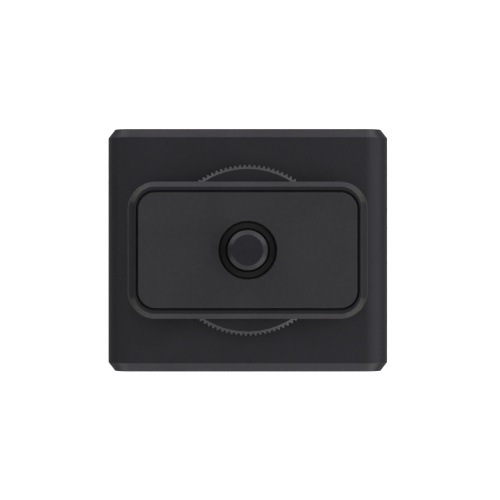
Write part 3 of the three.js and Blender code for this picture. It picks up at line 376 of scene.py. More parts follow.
# name: colour, roughness, metallic, grain size, contrast, relief, depth of the relief, cloudiness, rings
FINISHES = {
    "anodised": (shade(0.029, VIOLET), 0.42, 0.9, 9000, 0.12, 0.3, 0.01 * MM, 0.05),
    "anodised_dark": (shade(0.026, COOL), 0.38, 0.9, 8000, 0.1, 0.2, 0.008 * MM, 0.05),
    "turned_top": (shade(0.0235, COOL), 0.34, 0.92, 8000, 0.1, 0.25, 0.008 * MM, 0.05, LATHE["top"]),
    "turned_lens": (shade(0.03, COOL), 0.3, 0.92, 8000, 0.1, 0.25, 0.008 * MM, 0.05, LATHE["lens"]),
    # rim: the anodised finish made darker, as painted shade beside the pad's groove
    "rim": (shade(0.0235, VIOLET), 0.42, 0.9, 9000, 0.12, 0.3, 0.01 * MM, 0.05),
    # paler finish for the wheel's chamfers: a painted highlight
    "wheel_chamfer_highlight": (shade(0.05, COOL), 0.38, 0.92, 8000, 0.1, 0.2, 0.008 * MM, 0.04),
    "rubber": (shade(0.022, (1.03, 1.0, 1.18)), 0.78, 0.0, 4200, 0.2, 0.5, 0.03 * MM, 0.06),
    "silicone": (shade(0.02), 0.6, 0.0, 5000, 0.15, 0.3, 0.02 * MM),
    "moulded": (shade(0.012), 0.45, 0.0, 5200, 0.2, 0.5, 0.02 * MM),
    # black of the lens baffles, also put on the groove round the pad as painted shade
    "baffle_black_and_groove_shade": (shade(0.006), 0.62, 0.0, 3000, 0.1, 0.05, 0.005 * MM, 0.03),
    "dark_steel": (shade(0.0285, (1.05, 1.0, 1.22)), 0.48, 1.0, 8000, 0.12, 0.2),
    # paler steel for the screw's chamfer: a painted highlight
    "screw_chamfer_highlight": (shade(0.034, COOL), 0.46, 1.0, 8000, 0.1, 0.2),
    "bright_steel": (shade(0.45), 0.3, 1.0, 7000, 0.08, 0.15),
    "brass": ((0.66, 0.46, 0.19, 1), 0.3, 1.0, 6000, 0.1, 0.15),
    "solder_mask": ((0.012, 0.09, 0.04, 1), 0.4, 0.0, 3000, 0.3, 0.3),
    "component": (shade(0.02), 0.45, 0.0, 5000, 0.2, 0.3),
    "battery_wrap": ((0.06, 0.065, 0.075, 1), 0.5, 0.0, 4000, 0.1, 0.2),
    "card_plastic": ((0.02, 0.03, 0.05, 1), 0.4, 0.0, 5000, 0.1, 0.2),
    "tab": ((0.25, 0.03, 0.02, 1), 0.6, 0.0, 5000, 0.1, 0.3),
}
finishes = {name: finish(name, *numbers) for name, numbers in FINISHES.items()}
finishes["acetal"] = finish("acetal", shade(0.029), 0.6, 0.0, 7000, 0.1, 0.1, specular=0.06)
print("finishes:", len(finishes))

# %% [markdown]
# ## Glass
# The lens is dark because light goes in and little comes back. Its front surfaces are coated, which shows
# as a faint violet or green gleam. Cover glass over the display is nearly black when it is off.


# %% Glass finishes
def glass(name, tint, roughness, transmission, coating):
    """Clear or dark glass with a faint coloured coating that follows the viewing angle."""
    flat = {"Base Color": tint, "Roughness": roughness, "Transmission Weight": transmission, "IOR": 1.5}
    material, tree, shader = new_material(name, {**flat, "Specular Tint": coating})
    marks = add_node(tree, "Group")
    marks.node_tree = MARKS
    gloss = add_node(tree, "MapRange", {"To Min": roughness, "To Max": roughness + 0.03})
    wire(
        tree,
        (marks.outputs["Cloud"], gloss.inputs["Value"]),
        (gloss.outputs["Result"], shader.inputs["Roughness"]),
    )
    return material


# name: tint, roughness, transmission, colour of the coating
GLASSES = {
    "cover_glass": ((0.006, 0.006, 0.008, 1), 0.03, 0.0, (0.9, 0.92, 1, 1)),
    "window_glass": ((0.93, 0.95, 1.0, 1), 0.0, 1.0, (0.85, 0.75, 1, 1)),
    "lens_glass": ((0.5, 0.62, 0.6, 1), 0.0, 1.0, (0.2, 0.5, 0.34, 1)),
    "light_pipe": ((0.85, 0.87, 0.85, 1), 0.25, 0.4, (1, 1, 1, 1)),
}
for name, numbers in GLASSES.items():
    finishes[name] = glass(name, *numbers)
print("glasses added, finishes:", len(finishes))

# %% [markdown]
# ## How the pieces are made
# Nearly every piece here is either a block with rounded edges or something turned on a lathe, with holes
# cut in it. So three helpers do most of the work: `slab` makes a block and rounds its edges with a bevel,
# `turned` spins a half profile round an axis, and `carve` subtracts shapes with exact booleans.
# `place` turns the result into an object, rounds the last sharp edges with a fine bevel, hangs it on the
# empty of its body, and hides the solids that it stands for.

# %% Slab, turned and carve
AXES = {"X": Vector((1, 0, 0)), "Y": Vector((0, 1, 0)), "Z": Vector((0, 0, 1))}
OUTWARD = {"X": Vector((0, 1, 0)), "Y": Vector((1, 0, 0)), "Z": Vector((1, 0, 0))}


def slab(low, high, corner=0.0, axis="Z", steps=12):
    """A block between two corners. Its four edges along the axis are rounded."""
    low, high = Vector(low), Vector(high)
    size = high - low
    shape = bmesh.new()
    fit = Matrix.Translation((low + high) / 2) @ Matrix.Diagonal((*size, 1))
    bmesh.ops.create_cube(shape, size=1, matrix=fit)
    if corner:
        along = "XYZ".index(axis)
        long_edges = [e for e in shape.edges if abs((e.verts[0].co - e.verts[1].co)[along]) > size[along] / 2]
        round_off(shape, long_edges, corner, steps)
    return shape


def round_off(shape, edges, width, steps):
    bmesh.ops.bevel(
        shape,
        geom=edges,
        offset=width,
        offset_type="OFFSET",
        segments=steps,
        profile=0.5,
        affect="EDGES",
        material=-1,
    )


def turned(profile, axis, centre=(0, 0, 0), steps=96, ring=False):
    """A turned piece. profile is (radius, distance along the axis) pairs; a ring's profile closes."""
    along, outward = AXES[axis], OUTWARD[axis]
    middle = Vector(centre)
    middle -= along * middle.dot(along)
    shape = bmesh.new()
    points = [shape.verts.new(middle + outward * radius + along * reach) for radius, reach in profile]
    pairs = list(zip(points, points[1:])) + ([(points[-1], points[0])] if ring else [])
    lines = [shape.edges.new(pair) for pair in pairs]
    bmesh.ops.spin(
        shape,
        geom=points + lines,
        cent=middle,
        axis=along,
        dvec=(0, 0, 0),
        angle=2 * math.pi,
        steps=steps,
        use_merge=True,
    )
    bmesh.ops.remove_doubles(shape, verts=shape.verts, dist=0.0005 * MM)
    bmesh.ops.recalc_face_normals(shape, faces=shape.faces)
    return shape


def rod(radius, start, end, axis, centre=(0, 0, 0), steps=48):
    return turned([(0, start), (radius, start), (radius, end), (0, end)], axis, centre, steps)


def workshop_object(shape, name):
    """A short-lived object for a boolean."""
    mesh = bpy.data.meshes.new(name)
    shape.to_mesh(mesh)
    shape.free()
    held = bpy.data.objects.new(name, mesh)
    scene.collection.objects.link(held)
    return held


def combine(shape, others, operation):
    """Exact booleans, one after the other. The shapes passed in are used up."""
    block = workshop_object(shape, "block")
    tools = [workshop_object(other, "tool") for other in others]
    for tool in tools:
        step = block.modifiers.new("step", "BOOLEAN")
        step.operation = operation
        step.solver = "EXACT"
        step.object = tool
    bpy.context.view_layer.update()
    done = block.evaluated_get(bpy.context.evaluated_depsgraph_get())
    result = bmesh.new()
    result.from_mesh(done.to_mesh())
    done.to_mesh_clear()
    for held in [block, *tools]:
        mesh = held.data
        bpy.data.objects.remove(held)
        bpy.data.meshes.remove(mesh)
    return result


def carve(shape, cutters):
    return combine(shape, cutters, "DIFFERENCE")


def weld(shape, additions):
    return combine(shape, additions, "UNION")


# %% Place a finished piece
SMOOTH_BELOW = math.radians(32)


def place(shape, name, look, body, stands_for=(), edge=0.0, edge_steps=2, smooth=SMOOTH_BELOW):
    """Makes the object, softens its edges, hangs it on its body's empty and hides the solids it stands for.
    """
    for face in shape.faces:
        face.smooth = True
    for line in shape.edges:
        line.smooth = line.calc_face_angle(0) < smooth
    mesh = bpy.data.meshes.new(name)
    shape.to_mesh(mesh)
    shape.free()
    made = bpy.data.objects.new(name, mesh)
    scene.collection.objects.link(made)
    made.data.materials.append(finishes[look])
    if edge:
        soften = made.modifiers.new("soft_edges", "BEVEL")
        soften.width = edge
        soften.segments = edge_steps
        soften.limit_method = "ANGLE"
        soften.angle_limit = math.radians(33)
        soften.harden_normals = True
    else:
        weigh = made.modifiers.new("flat_faces_stay_flat", "WEIGHTED_NORMAL")
        weigh.keep_sharp = True
    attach(made, body)
    if stands_for:
        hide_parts(*stands_for)
    return made


print("helpers ready")

# %% [markdown]
# ## Housing
# The real sleeve is a length of extruded aluminium tube. It is cut off square, its ends are chamfered, and
# then it is machined: a doorway on the left, button holes and speaker slots on the right, a seat for
# the foot below. Here a block gets its four long edges rounded, an inset with depth makes each end's
# chamfer, and the cavity and openings are carved out.

# %% Housing
cover_low, cover_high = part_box("front_cover")
door_low, door_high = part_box("side_door")
foot_low, foot_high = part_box("foot_pad")
cavity_low = Vector((housing_low.x + WALLS["side"], 0, housing_low.z + WALLS["bottom"]))
cavity_high = Vector((housing_high.x - WALLS["side"], 0, TOP - WALLS["top"]))
DOORWAY_LOW = Vector((0, door_low.y - DOOR_CLEARANCE, door_low.z - DOOR_CLEARANCE))
DOORWAY_HIGH = Vector((0, door_high.y + DOOR_CLEARANCE, door_high.z + DOOR_CLEARANCE))
BEARING_HOLE = 3.35 * MM
SOCKET_RADIUS = 4.4 * MM


def chamfered_tube():
    chamfer_length, chamfer_inset = HOUSING_CHAMFER
    low = Vector((housing_low.x, housing_low.y + chamfer_length, housing_low.z))
    high = Vector((housing_high.x, housing_high.y - chamfer_length, housing_high.z))
    tube = slab(low, high, HOUSING_CORNER, "Y", 20)
    ends = [f for f in tube.faces if abs(f.normal.y) > 0.9]
    bmesh.ops.inset_individual(tube, faces=ends, thickness=chamfer_inset, depth=chamfer_length)
    return tube


def door_panel(low, high, corner):
    """A panel across X with round corners at the front and square ones along the hinge."""
    panel = slab(low, high)
    through = [e for e in panel.edges if abs(e.verts[0].co.x - e.verts[1].co.x) > MM]
    front = [e for e in through if all(v.co.y < low[1] + 0.1 * MM for v in e.verts)]
    round_off(panel, front, corner, 12)
    return panel


def doorway():
    x0, x1 = housing_low.x - MM, housing_low.x + WALLS["side"] + 0.5 * MM
    low, high = (x0, DOORWAY_LOW.y, DOORWAY_LOW.z), (x1, DOORWAY_HIGH.y, DOORWAY_HIGH.z)
    return door_panel(low, high, DOOR_CORNER + DOOR_CLEARANCE)


def button_places():
    """(radius of the cap, y, z) of each button, by name."""
    places = {}
    for name in ("shutter", "power"):
        low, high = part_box(f"{name}_button")
        places[name] = ((high.z - low.z) / 2 - BUTTON_FLANGE, *centre_of(low, high)[1:])
    return places


def speaker_slots():
    count, width, length, pitch = 5, 0.9 * MM, 11 * MM, 1.6 * MM
    _, middle_y, middle_z = centre_of(*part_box("speaker"))
    slots = []
    for i in range(count):
        y = middle_y + (i - (count - 1) / 2) * pitch
        low = (housing_high.x - WALLS["side"] - MM, y - width / 2, middle_z - length / 2)
        high = (housing_high.x + MM, y + width / 2, middle_z + length / 2)
        slots.append(slab(low, high, width / 2 * 0.98, "X", 6))
    return slots


def housing():
    low = (cavity_low.x, housing_low.y - MM, cavity_low.z)
    high = (cavity_high.x, housing_high.y + MM, cavity_high.z)
    cavity = slab(low, high, HOUSING_CORNER - WALLS["side"], "Y", 10)
    button_holes = [
        rod(radius + SLIP, cavity_high.x - MM, housing_high.x + MM, "X", (0, y, z), 64)
        for radius, y, z in button_places().values()
    ]
    low = (foot_low.x - GAP, foot_low.y - GAP, housing_low.z - MM)
    high = (foot_high.x + GAP, foot_high.y + GAP, foot_high.z + GAP / 2)
    foot_seat = slab(low, high, FOOT_CORNER + GAP, "Z", 10)
    bearing_hole = rod(BEARING_HOLE, cavity_high.z - MM, TOP + MM, "Z")
    socket_hole = rod(SOCKET_RADIUS + GAP / 2, housing_low.z - MM, cavity_low.z + MM, "Z")
    return carve(
        chamfered_tube(),
        [cavity, doorway(), *button_holes, *speaker_slots(), foot_seat, bearing_hole, socket_hole],
    )


place(housing(), "housing", "anodised", "camera", ["housing_sleeve"], FINE_EDGE)
print("housing", [round((h - l) / MM, 1) for l, h in zip(housing_low, housing_high)], "mm")

# %% [markdown]
# ## Platform
# The plate and its two legs are one machined piece. From above it is a rounded rectangle with a chamfer
# all round, a narrow flat rim, a dark groove and the rubber pad. The block's top face is raised twice, each
# time by an inset with depth: first the shoulders, where the outline draws in a little at both ends, then the
# chamfer. The wheel's slot, the pad's seat and the hole for the bush are carved. Two more materials sit on
# faces that are picked by place, and both are painted shade: a darker one on the flat rim, for the shade
# beside the groove, and a nearly black one down in the groove, for the shade that fills it.

# %% Plate and legs
bush_low, bush_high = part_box("screw_bush")
WHEEL_RADIUS = (wheel_high.x - wheel_low.x) / 2
WHEEL_ROOM = 0.88 * MM
SLOT_HALF = WHEEL_RADIUS + WHEEL_ROOM


def draw_in_ends(vertex):
    """Moves a point of the plate's outline to the shorter outline above the shoulders."""
    along = (abs(vertex.co.x) - plate_high.x + PLATE_CORNER) / PLATE_CORNER
    across = (abs(vertex.co.y) - plate_high.y + PLATE_CORNER) / PLATE_CORNER
    x = plate_high.x - SHOULDER_INSET - SHOULDER_CORNER * (1 - along)
    y = plate_high.y - SHOULDER_CORNER * (1 - across)
    vertex.co = (math.copysign(x, vertex.co.x), math.copysign(y, vertex.co.y), vertex.co.z)


def platform():
    low = Vector(plate_low)
    high = Vector((plate_high.x, plate_high.y, plate_high.z - PLATE_CHAMFER - SHOULDER_HEIGHT))
    block = slab(low, high, PLATE_CORNER, "Z", 20)
    top_face = [f for f in block.faces if f.normal.z > 0.9]
    bmesh.ops.inset_individual(block, faces=top_face, thickness=0, depth=SHOULDER_HEIGHT)
    for vertex in top_face[0].verts:
        draw_in_ends(vertex)
    bmesh.ops.inset_individual(block, faces=top_face, thickness=PLATE_CHAMFER, depth=PLATE_CHAMFER)
    wheel_slot = slab((-SLOT_HALF, low.y - MM, low.z - MM), (SLOT_HALF, high.y + MM, bush_low.z))
    rim = PLATE_CHAMFER + PLATE_RIM - GAP / 2
    seat_low = (plate_low.x + rim, plate_low.y + rim, pad_low.z - GAP / 2)
    seat_high = (plate_high.x - rim, plate_high.y - rim, plate_high.z + MM)
    seat = slab(seat_low, seat_high, PLATE_CORNER - rim, "Z", 14)
    bush_hole = rod(bush_high.x + GAP / 2, bush_low.z - MM, plate_high.z + MM, "Z", steps=72)
    return carve(block, [wheel_slot, seat, bush_hole])


plate = place(platform(), "platform", "anodised", "camera", ["platform_bridge"], FINE_EDGE)
# The rim faces get the darker finish and the groove faces the nearly black one: both are painted shade.
for look in ("rim", "baffle_black_and_groove_shade"):
    plate.data.materials.append(finishes[look])
for face in plate.data.polygons:
    inside = max(abs(face.center.x) - plate_high.x, abs(face.center.y) - plate_high.y) < -PLATE_CHAMFER
    if inside and face.center.z > pad_low.z - GAP:
        face.material_index = 1 if face.center.z > plate_high.z - GAP else 2


# %% Pad and bush
def pad():
    block = slab(pad_low, pad_high, PLATE_CORNER - PLATE_CHAMFER - PLATE_RIM - PAD_GROOVE, "Z", 14)
    hole = rod(PAD_HOLE, pad_low.z - MM, pad_high.z + MM, "Z", steps=96)
    return carve(block, [hole])


place(pad(), "pad", "rubber", "camera", ["platform_pad"], FINE_EDGE)

BUSH_INNER = 3.5 * MM
BUSH_SOFT = 0.08 * MM


def bush():
    inner, outer, top = BUSH_INNER, bush_high.x, bush_high.z
    soft_top = [
        (outer, top - BUSH_SOFT),
        (outer - BUSH_SOFT, top),
        (inner + BUSH_SOFT, top),
        (inner, top - BUSH_SOFT),
    ]
    return turned([(inner, bush_low.z), (outer, bush_low.z), *soft_top], "Z", steps=96, ring=True)


place(bush(), "bush", "acetal", "camera", ["screw_bush"])
print("platform top at", round(plate_high.z / MM, 2), "mm, pad at", round(pad_high.z / MM, 2), "mm")

# %% [markdown]
# ## Knurled wheel
# The real wheel is turned, its rim is rolled with a straight knurl, and a chamfer then cuts the knurl off
# at both edges. A circle with four points to each tooth is extruded up the rim. Each point's radius and
# height follow from whether it is on a tooth or in a valley: where the chamfer's cone meets a valley, it
# has not come as far in from the wheel's face. The chamfers get a paler finish, a painted highlight that
# makes them brighter than the lamps alone do.

# %% Wheel
TEETH = 110
TOOTH_DEPTH = 0.38 * MM
WHEEL_CHAMFER = (0.7 * MM, 0.5 * MM)
JOURNAL_RADIUS = 2.3 * MM
SLOPING = 0.3


def edges_in(geometry):
    return [g for g in geometry if isinstance(g, bmesh.types.BMEdge)]


def on_tooth(vertex):
    quarter = int(math.atan2(vertex.co.y, vertex.co.x) / (2 * math.pi) * TEETH * 4 + 4 * TEETH + 0.5)
    return quarter % 4 in (0, 1)


def at_radius(vertex, radius, height):
    """Moves a vertex straight out or in to a radius, at a height."""
    flat = Vector((vertex.co.x, vertex.co.y, 0)).normalized() * radius
    vertex.co = (flat.x, flat.y, height)


def grow(shape, lines):
    """Extrudes a loop of edges. Gives the new edges and vertices."""
    grown = bmesh.ops.extrude_edge_only(shape, edges=lines)["geom"]
    return edges_in(grown), [g for g in grown if isinstance(g, bmesh.types.BMVert)]


def wheel():
    radial, axial = WHEEL_CHAMFER
    shape = bmesh.new()
    start = bmesh.ops.create_circle(
        shape,
        cap_ends=True,
        segments=TEETH * 4,
        radius=WHEEL_RADIUS - radial,
        matrix=Matrix.Translation((0, 0, wheel_low.z)),
    )
    lines = list({e for v in start["verts"] for e in v.link_edges})
    for height, way in ((wheel_low.z, 1), (wheel_high.z, -1)):
        lines, loop = grow(shape, lines)
        for vertex in loop:
            depth = 0 if on_tooth(vertex) else TOOTH_DEPTH
            at_radius(vertex, WHEEL_RADIUS - depth, height + way * axial * (radial - depth) / radial)
    lines, loop = grow(shape, lines)
    for vertex in loop:
        at_radius(vertex, WHEEL_RADIUS - radial, wheel_high.z)
    bmesh.ops.contextual_create(shape, geom=lines)
    bmesh.ops.recalc_face_normals(shape, faces=shape.faces)
    hub_hole = rod(JOURNAL_RADIUS + GAP, wheel_low.z - MM, wheel_high.z + MM, "Z")
    return carve(shape, [hub_hole])


WHEEL_SMOOTH = math.radians(20)
knurled_wheel = place(
    wheel(), "wheel", "turned_top", "wheel", ["thumb_wheel"], smooth=WHEEL_SMOOTH
)
# The chamfer faces get the paler finish, a painted highlight.
knurled_wheel.data.materials.append(finishes["wheel_chamfer_highlight"])
for face in knurled_wheel.data.polygons:
    on_rim = face.center.xy.length > WHEEL_RADIUS - WHEEL_CHAMFER[0]
    face.material_index = int(on_rim and abs(face.normal.z) > SLOPING)
print("wheel", round(2 * WHEEL_RADIUS / MM, 2), "mm across,", TEETH, "teeth")

# %% [markdown]
# ## Camera screw
# A thread is a profile that climbs while it turns. Spin has an argument for that: `dvec` lifts the profile
# a little at each step, so one full turn lifts it by the pitch and the next turn joins on. The
# ends are then cut flat and closed. The tip is a plain turned collar with a chamfer, welded on. The
# chamfer's faces lean, so their normals tell them from the rest, and they get a slightly paler steel: a
# painted highlight that makes the chamfer brighter than the lamps alone do.

# %% Camera screw
PITCH = 1.27 * MM
THREAD_RADIUS = 3.165 * MM
THREAD_DEPTH = 0.62 * MM
TIP_RADIUS = 2.46 * MM
TIP_STEEPNESS = 0.8
TURN_STEPS = 72


def thread_profile(radius, depth, pitch):
    """One pitch of the thread, root to root: (radius, height)."""
    root = radius - depth
    return [
        (root, 0.0),
        (root, 0.08 * pitch),
        (root + depth * 0.5, 0.25 * pitch),
        (radius - depth * 0.08, 0.41 * pitch),
        (radius, 0.45 * pitch),
        (radius, 0.55 * pitch),
        (radius - depth * 0.08, 0.59 * pitch),
        (root + depth * 0.5, 0.75 * pitch),
        (root, 0.92 * pitch),
        (root, pitch),
    ]


def threaded_rod(radius, depth, pitch, low, high):
    """A threaded rod, cut flat at both ends. It starts a turn and a half low, so that the cuts are whole."""
    shape = bmesh.new()
    start = low - 1.5 * pitch
    turns = math.ceil((high - start) / pitch) + 1
    profile = thread_profile(radius, depth, pitch)
    points = [shape.verts.new((r, 0, start + z)) for r, z in profile]
    lines = [shape.edges.new(pair) for pair in zip(points, points[1:])]
    bmesh.ops.spin(
        shape,
        geom=points + lines,
        cent=(0, 0, 0),
        axis=(0, 0, 1),
        dvec=(0, 0, pitch / TURN_STEPS),
        angle=2 * math.pi * turns,
        steps=TURN_STEPS * turns,
        use_merge=False,
    )
    bmesh.ops.remove_doubles(shape, verts=shape.verts, dist=0.002 * MM)
    for height, direction in ((high, 1), (low, -1)):
        cut = bmesh.ops.bisect_plane(
            shape,
            geom=shape.verts[:] + shape.edges[:] + shape.faces[:],
            plane_co=(0, 0, height),
            plane_no=(0, 0, direction),
            clear_outer=True,
        )
        bmesh.ops.contextual_create(shape, geom=edges_in(cut["geom_cut"]))
    bmesh.ops.recalc_face_normals(shape, faces=shape.faces)
    return shape


def camera_screw():
    """The thread runs out into a plain collar, whose chamfer leads into a socket."""
    tip = screw_high.z
    under_chamfer = tip - TIP_STEEPNESS * (THREAD_RADIUS - TIP_RADIUS)
    thread = threaded_rod(THREAD_RADIUS, THREAD_DEPTH, PITCH, wheel_high.z - 0.2 * MM, tip - 0.9 * MM)
    profile = [
        (0, tip - 1.1 * MM),
        (THREAD_RADIUS - THREAD_DEPTH - 0.05 * MM, tip - 1.1 * MM),
        (THREAD_RADIUS, under_chamfer - 0.12 * MM),
        (THREAD_RADIUS, under_chamfer),
        (TIP_RADIUS, tip),
        (0, tip),
    ]
    return weld(thread, [turned(profile, "Z", steps=TURN_STEPS)])


SCREW_SMOOTH = math.radians(34)
stud = place(
    camera_screw(), "camera_screw", "dark_steel", "wheel", ["camera_screw"], smooth=SCREW_SMOOTH
)
# The chamfer faces near the tip get the paler steel, a painted highlight.
stud.data.materials.append(finishes["screw_chamfer_highlight"])
for face in stud.data.polygons:
    leaning = SLOPING < face.normal.z < 0.95
    face.material_index = int(face.center.z > screw_high.z - MM and leaning)


# %% Screw's journal, below the wheel
CLIP_GROOVE_RADIUS = 1.8 * MM


def journal():
    clip_low, clip_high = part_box("retaining_clip")
    profile = [
        (0, screw_low.z),
        (JOURNAL_RADIUS, screw_low.z),
        (JOURNAL_RADIUS, clip_low.z),
        (CLIP_GROOVE_RADIUS, clip_low.z),
        (CLIP_GROOVE_RADIUS, clip_high.z),
        (JOURNAL_RADIUS, clip_high.z),
        (JOURNAL_RADIUS, wheel_high.z),
        (0, wheel_high.z),
    ]
    return turned(profile, "Z", steps=48)


place(journal(), "screw_journal", "dark_steel", "wheel")
print("screw stands", round((screw_high.z - pad_high.z) / MM, 2), "mm out of the pad")

# %% [markdown]
# ## Covers
# Both ends close with a moulded cover that sits just inside the tube. Each is held by four socket screws
# in sunk holes. The front one has a stepped hole for the lens window and its ring, a pinhole for the
# microphone and a hole for the status light. The rear one has a frame for the display glass.

# %% Screws with a hexagon socket
COVER_SCREW = {"head": 1.4 * MM, "shank": 0.8 * MM, "head_height": 0.9 * MM}
SOFT_HEAD = 0.16 * MM
HEXAGON = 1.6 * MM


def hexagon_prism(across, start, end, centre):
    """A hexagon prism along Y between two places."""
    turn = AXES["Z"].rotation_difference(AXES["Y"]).to_matrix().to_4x4()
    shape = bmesh.new()
    bmesh.ops.create_cone(
        shape,
        cap_ends=True,
        segments=6,
        radius1=across / 2,
        radius2=across / 2,
        depth=abs(end - start),
        matrix=Matrix.Translation((centre[0], (start + end) / 2, centre[2])) @ turn,
    )
    return shape


def socket_screw(name, outward):
    """A screw along Y whose head faces outward, -1 to the front and 1 to the rear."""
    low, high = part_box(name)
    centre = centre_of(low, high)
    tip, face = (low.y, high.y) if outward > 0 else (high.y, low.y)
    head, shank, head_height = COVER_SCREW.values()
    under = face - outward * head_height
    profile = [
        (0, face),
        (head - SOFT_HEAD, face),
        (head, face - outward * SOFT_HEAD),
        (head, under),
        (shank, under),
        (shank, tip),
        (0, tip),
    ]
    body = turned(profile, "Y", centre, 48)
    socket_end = face - outward * head_height * 0.6
    socket = hexagon_prism(HEXAGON, face + outward * 0.2 * MM, socket_end, centre)
    return carve(body, [socket])


COVER_SCREWS = {end: [f"{end}_screw_{i}" for i in range(1, 5)] for end in ("front", "rear")}
for end, way in (("front", -1), ("rear", 1)):
    for name in COVER_SCREWS[end]:
        place(socket_screw(name, way), name, "dark_steel", "camera", [name], 0.04 * MM, 1)
print("cover screws:", COVER_SCREWS)

# %% Front cover
window_low, window_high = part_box("lens_window")
barrel_low, barrel_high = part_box("lens_barrel")
RING_RADIUS = (lens_high.x - lens_low.x) / 2
WINDOW_RADIUS = (window_high.x - window_low.x) / 2
BARREL_RADIUS = (barrel_high.x - barrel_low.x) / 2
OPENING_RADIUS = BARREL_RADIUS + 0.4 * MM
COVER_CORNER = HOUSING_CORNER - WALLS["side"] - GAP
MIC_HOLE = 0.5 * MM
LIGHT_RADIUS = 0.9 * MM


def screw_holes(names, face, outward):
    """The sunk hole of each cover screw."""
    holes = []
    for name in names:
        centre = centre_of(*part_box(name))
        seat = face - outward * (COVER_SCREW["head_height"] + GAP)
        above = face + outward * MM
        deep = face - outward * 6 * MM
        for part, end, steps in (("head", seat, 40), ("shank", deep, 24)):
            holes.append(rod(COVER_SCREW[part] + GAP, *sorted((end, above)), "Y", centre, steps))
    return holes


def front_cover():
    face, back = cover_low.y, cover_high.y
    blank = slab(cover_low, cover_high, COVER_CORNER, "Y", 10)
    mic, light = centre_of(*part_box("microphone")), centre_of(*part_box("status_light"))
    front = face - MM
    holes = [
        rod(OPENING_RADIUS, front, back + MM, "Y", LENS_CENTRE, 96),
        rod(WINDOW_RADIUS + GAP, front, window_high.y + GAP / 2, "Y", LENS_CENTRE, 96),
        rod(RING_RADIUS + GAP, front, lens_high.y + GAP / 2, "Y", LENS_CENTRE, 128),
        rod(MIC_HOLE, front, back + MM, "Y", mic, 24),
        rod(LIGHT_RADIUS + GAP / 2, front, back + MM, "Y", light, 32),
    ]
    return carve(blank, holes + screw_holes(COVER_SCREWS["front"], face, -1))


place(front_cover(), "front_cover", "moulded", "camera", ["front_cover"], FINE_EDGE)

# %% Rear cover and display glass
glass_low, glass_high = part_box("display_glass")
rear_low, rear_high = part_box("rear_cover")
GLASS_CORNER = 2.2 * MM
WINDOW_MARGIN = 2.2 * MM
DISPLAY_BORDER = 2.6 * MM


def rear_cover():
    blank = slab(rear_low, rear_high, COVER_CORNER, "Y", 10)
    seat = slab(
        (glass_low.x - GAP, glass_low.y - GAP, glass_low.z - GAP),
        (glass_high.x + GAP, glass_high.y + MM, glass_high.z + GAP),
        GLASS_CORNER + GAP,
        "Y",
        10,
    )
    window = slab(
        (glass_low.x + WINDOW_MARGIN, rear_low.y - MM, glass_low.z + WINDOW_MARGIN),
        (glass_high.x - WINDOW_MARGIN, rear_high.y + MM, glass_high.z - WINDOW_MARGIN),
        GLASS_CORNER / 2,
        "Y",
        8,
    )
    return carve(blank, [seat, window, *screw_holes(COVER_SCREWS["rear"], rear_high.y, 1)])


place(rear_cover(), "rear_cover", "moulded", "camera", ["rear_cover"], FINE_EDGE)


def display_finish():
    """Black glass whose lit area shows as a slightly bluer rectangle inside a blacker border."""
    material = finishes["cover_glass"].copy()
    material.name = "display_glass"
    tree = material.node_tree
    shader = tree.nodes["Principled BSDF"]
    spot = add_node(tree, "TexCoord")
    parts = add_node(tree, "SeparateXYZ")
    both = add_node(tree, "Math")
    both.operation = "MULTIPLY"
    tone = add_node(tree, "Mix")
    tone.data_type = "RGBA"
    set_inputs(tone, {"A": (0.003, 0.003, 0.0035, 1), "B": (0.011, 0.012, 0.018, 1)})
    centre = centre_of(glass_low, glass_high)
    half = (glass_high - glass_low) / 2
    for number, axis in enumerate((0, 2)):
        near = add_node(tree, "Math", {1: centre[axis], 2: half[axis] - DISPLAY_BORDER})
        near.operation = "COMPARE"
        wire(tree, (parts.outputs[axis], near.inputs[0]), (near.outputs[0], both.inputs[number]))
    wire(
        tree,
        (spot.outputs["Object"], parts.inputs[0]),
        (both.outputs[0], tone.inputs["Factor"]),
        (tone.outputs["Result"], shader.inputs["Base Color"]),
    )
    return material


finishes["display_glass"] = display_finish()
display = slab(glass_low, glass_high, GLASS_CORNER, "Y", 12)
place(display, "display_glass", "display_glass", "camera", ["display_glass"], 0.3 * MM, 3)
print("covers and display done")

# %% [markdown]
# ## Lens
# Looked at from the front, a lens is a bright-edged ring, a flat protective window, and behind it a dark
# well of steps that ends in a domed glass. The steps are baffles: they stop stray light. Everything here
# is turned, so each part is one half profile and a spin.

# %% Lens
element_low, element_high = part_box("lens_front_element")
rear_glass_low, rear_glass_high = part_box("lens_rear_element")
ELEMENT_RADIUS = (element_high.x - element_low.x) / 2
REAR_GLASS_RADIUS = (rear_glass_high.x - rear_glass_low.x) / 2
RING_BORE = 9.05 * MM
RING_CHAMFER = 0.45 * MM
BAFFLES, BAFFLE_WIDTH = 4, 0.26 * MM
DOME_RISE = 1.376 * MM


def lens_ring():
    front, back = lens_low.y, lens_high.y
    profile = [
        (RING_BORE, back),
        (RING_RADIUS, back),
        (RING_RADIUS, front + RING_CHAMFER),
        (RING_RADIUS - RING_CHAMFER, front),
        (RING_BORE + 1.5 * MM, front),
        (RING_BORE + 1.35 * MM, front + 0.2 * MM),
        (RING_BORE + 1.1 * MM, front + 0.2 * MM),
        (RING_BORE, front + 0.95 * MM),
    ]
    return turned(profile, "Y", LENS_CENTRE, 160, ring=True)


def lens_window():
    soft = 0.12 * MM
    profile = [
        (0, window_low.y),
        (WINDOW_RADIUS - soft, window_low.y),
        (WINDOW_RADIUS, window_low.y + soft),
        (WINDOW_RADIUS, window_high.y),
        (0, window_high.y),
    ]
    return turned(profile, "Y", LENS_CENTRE, 128)


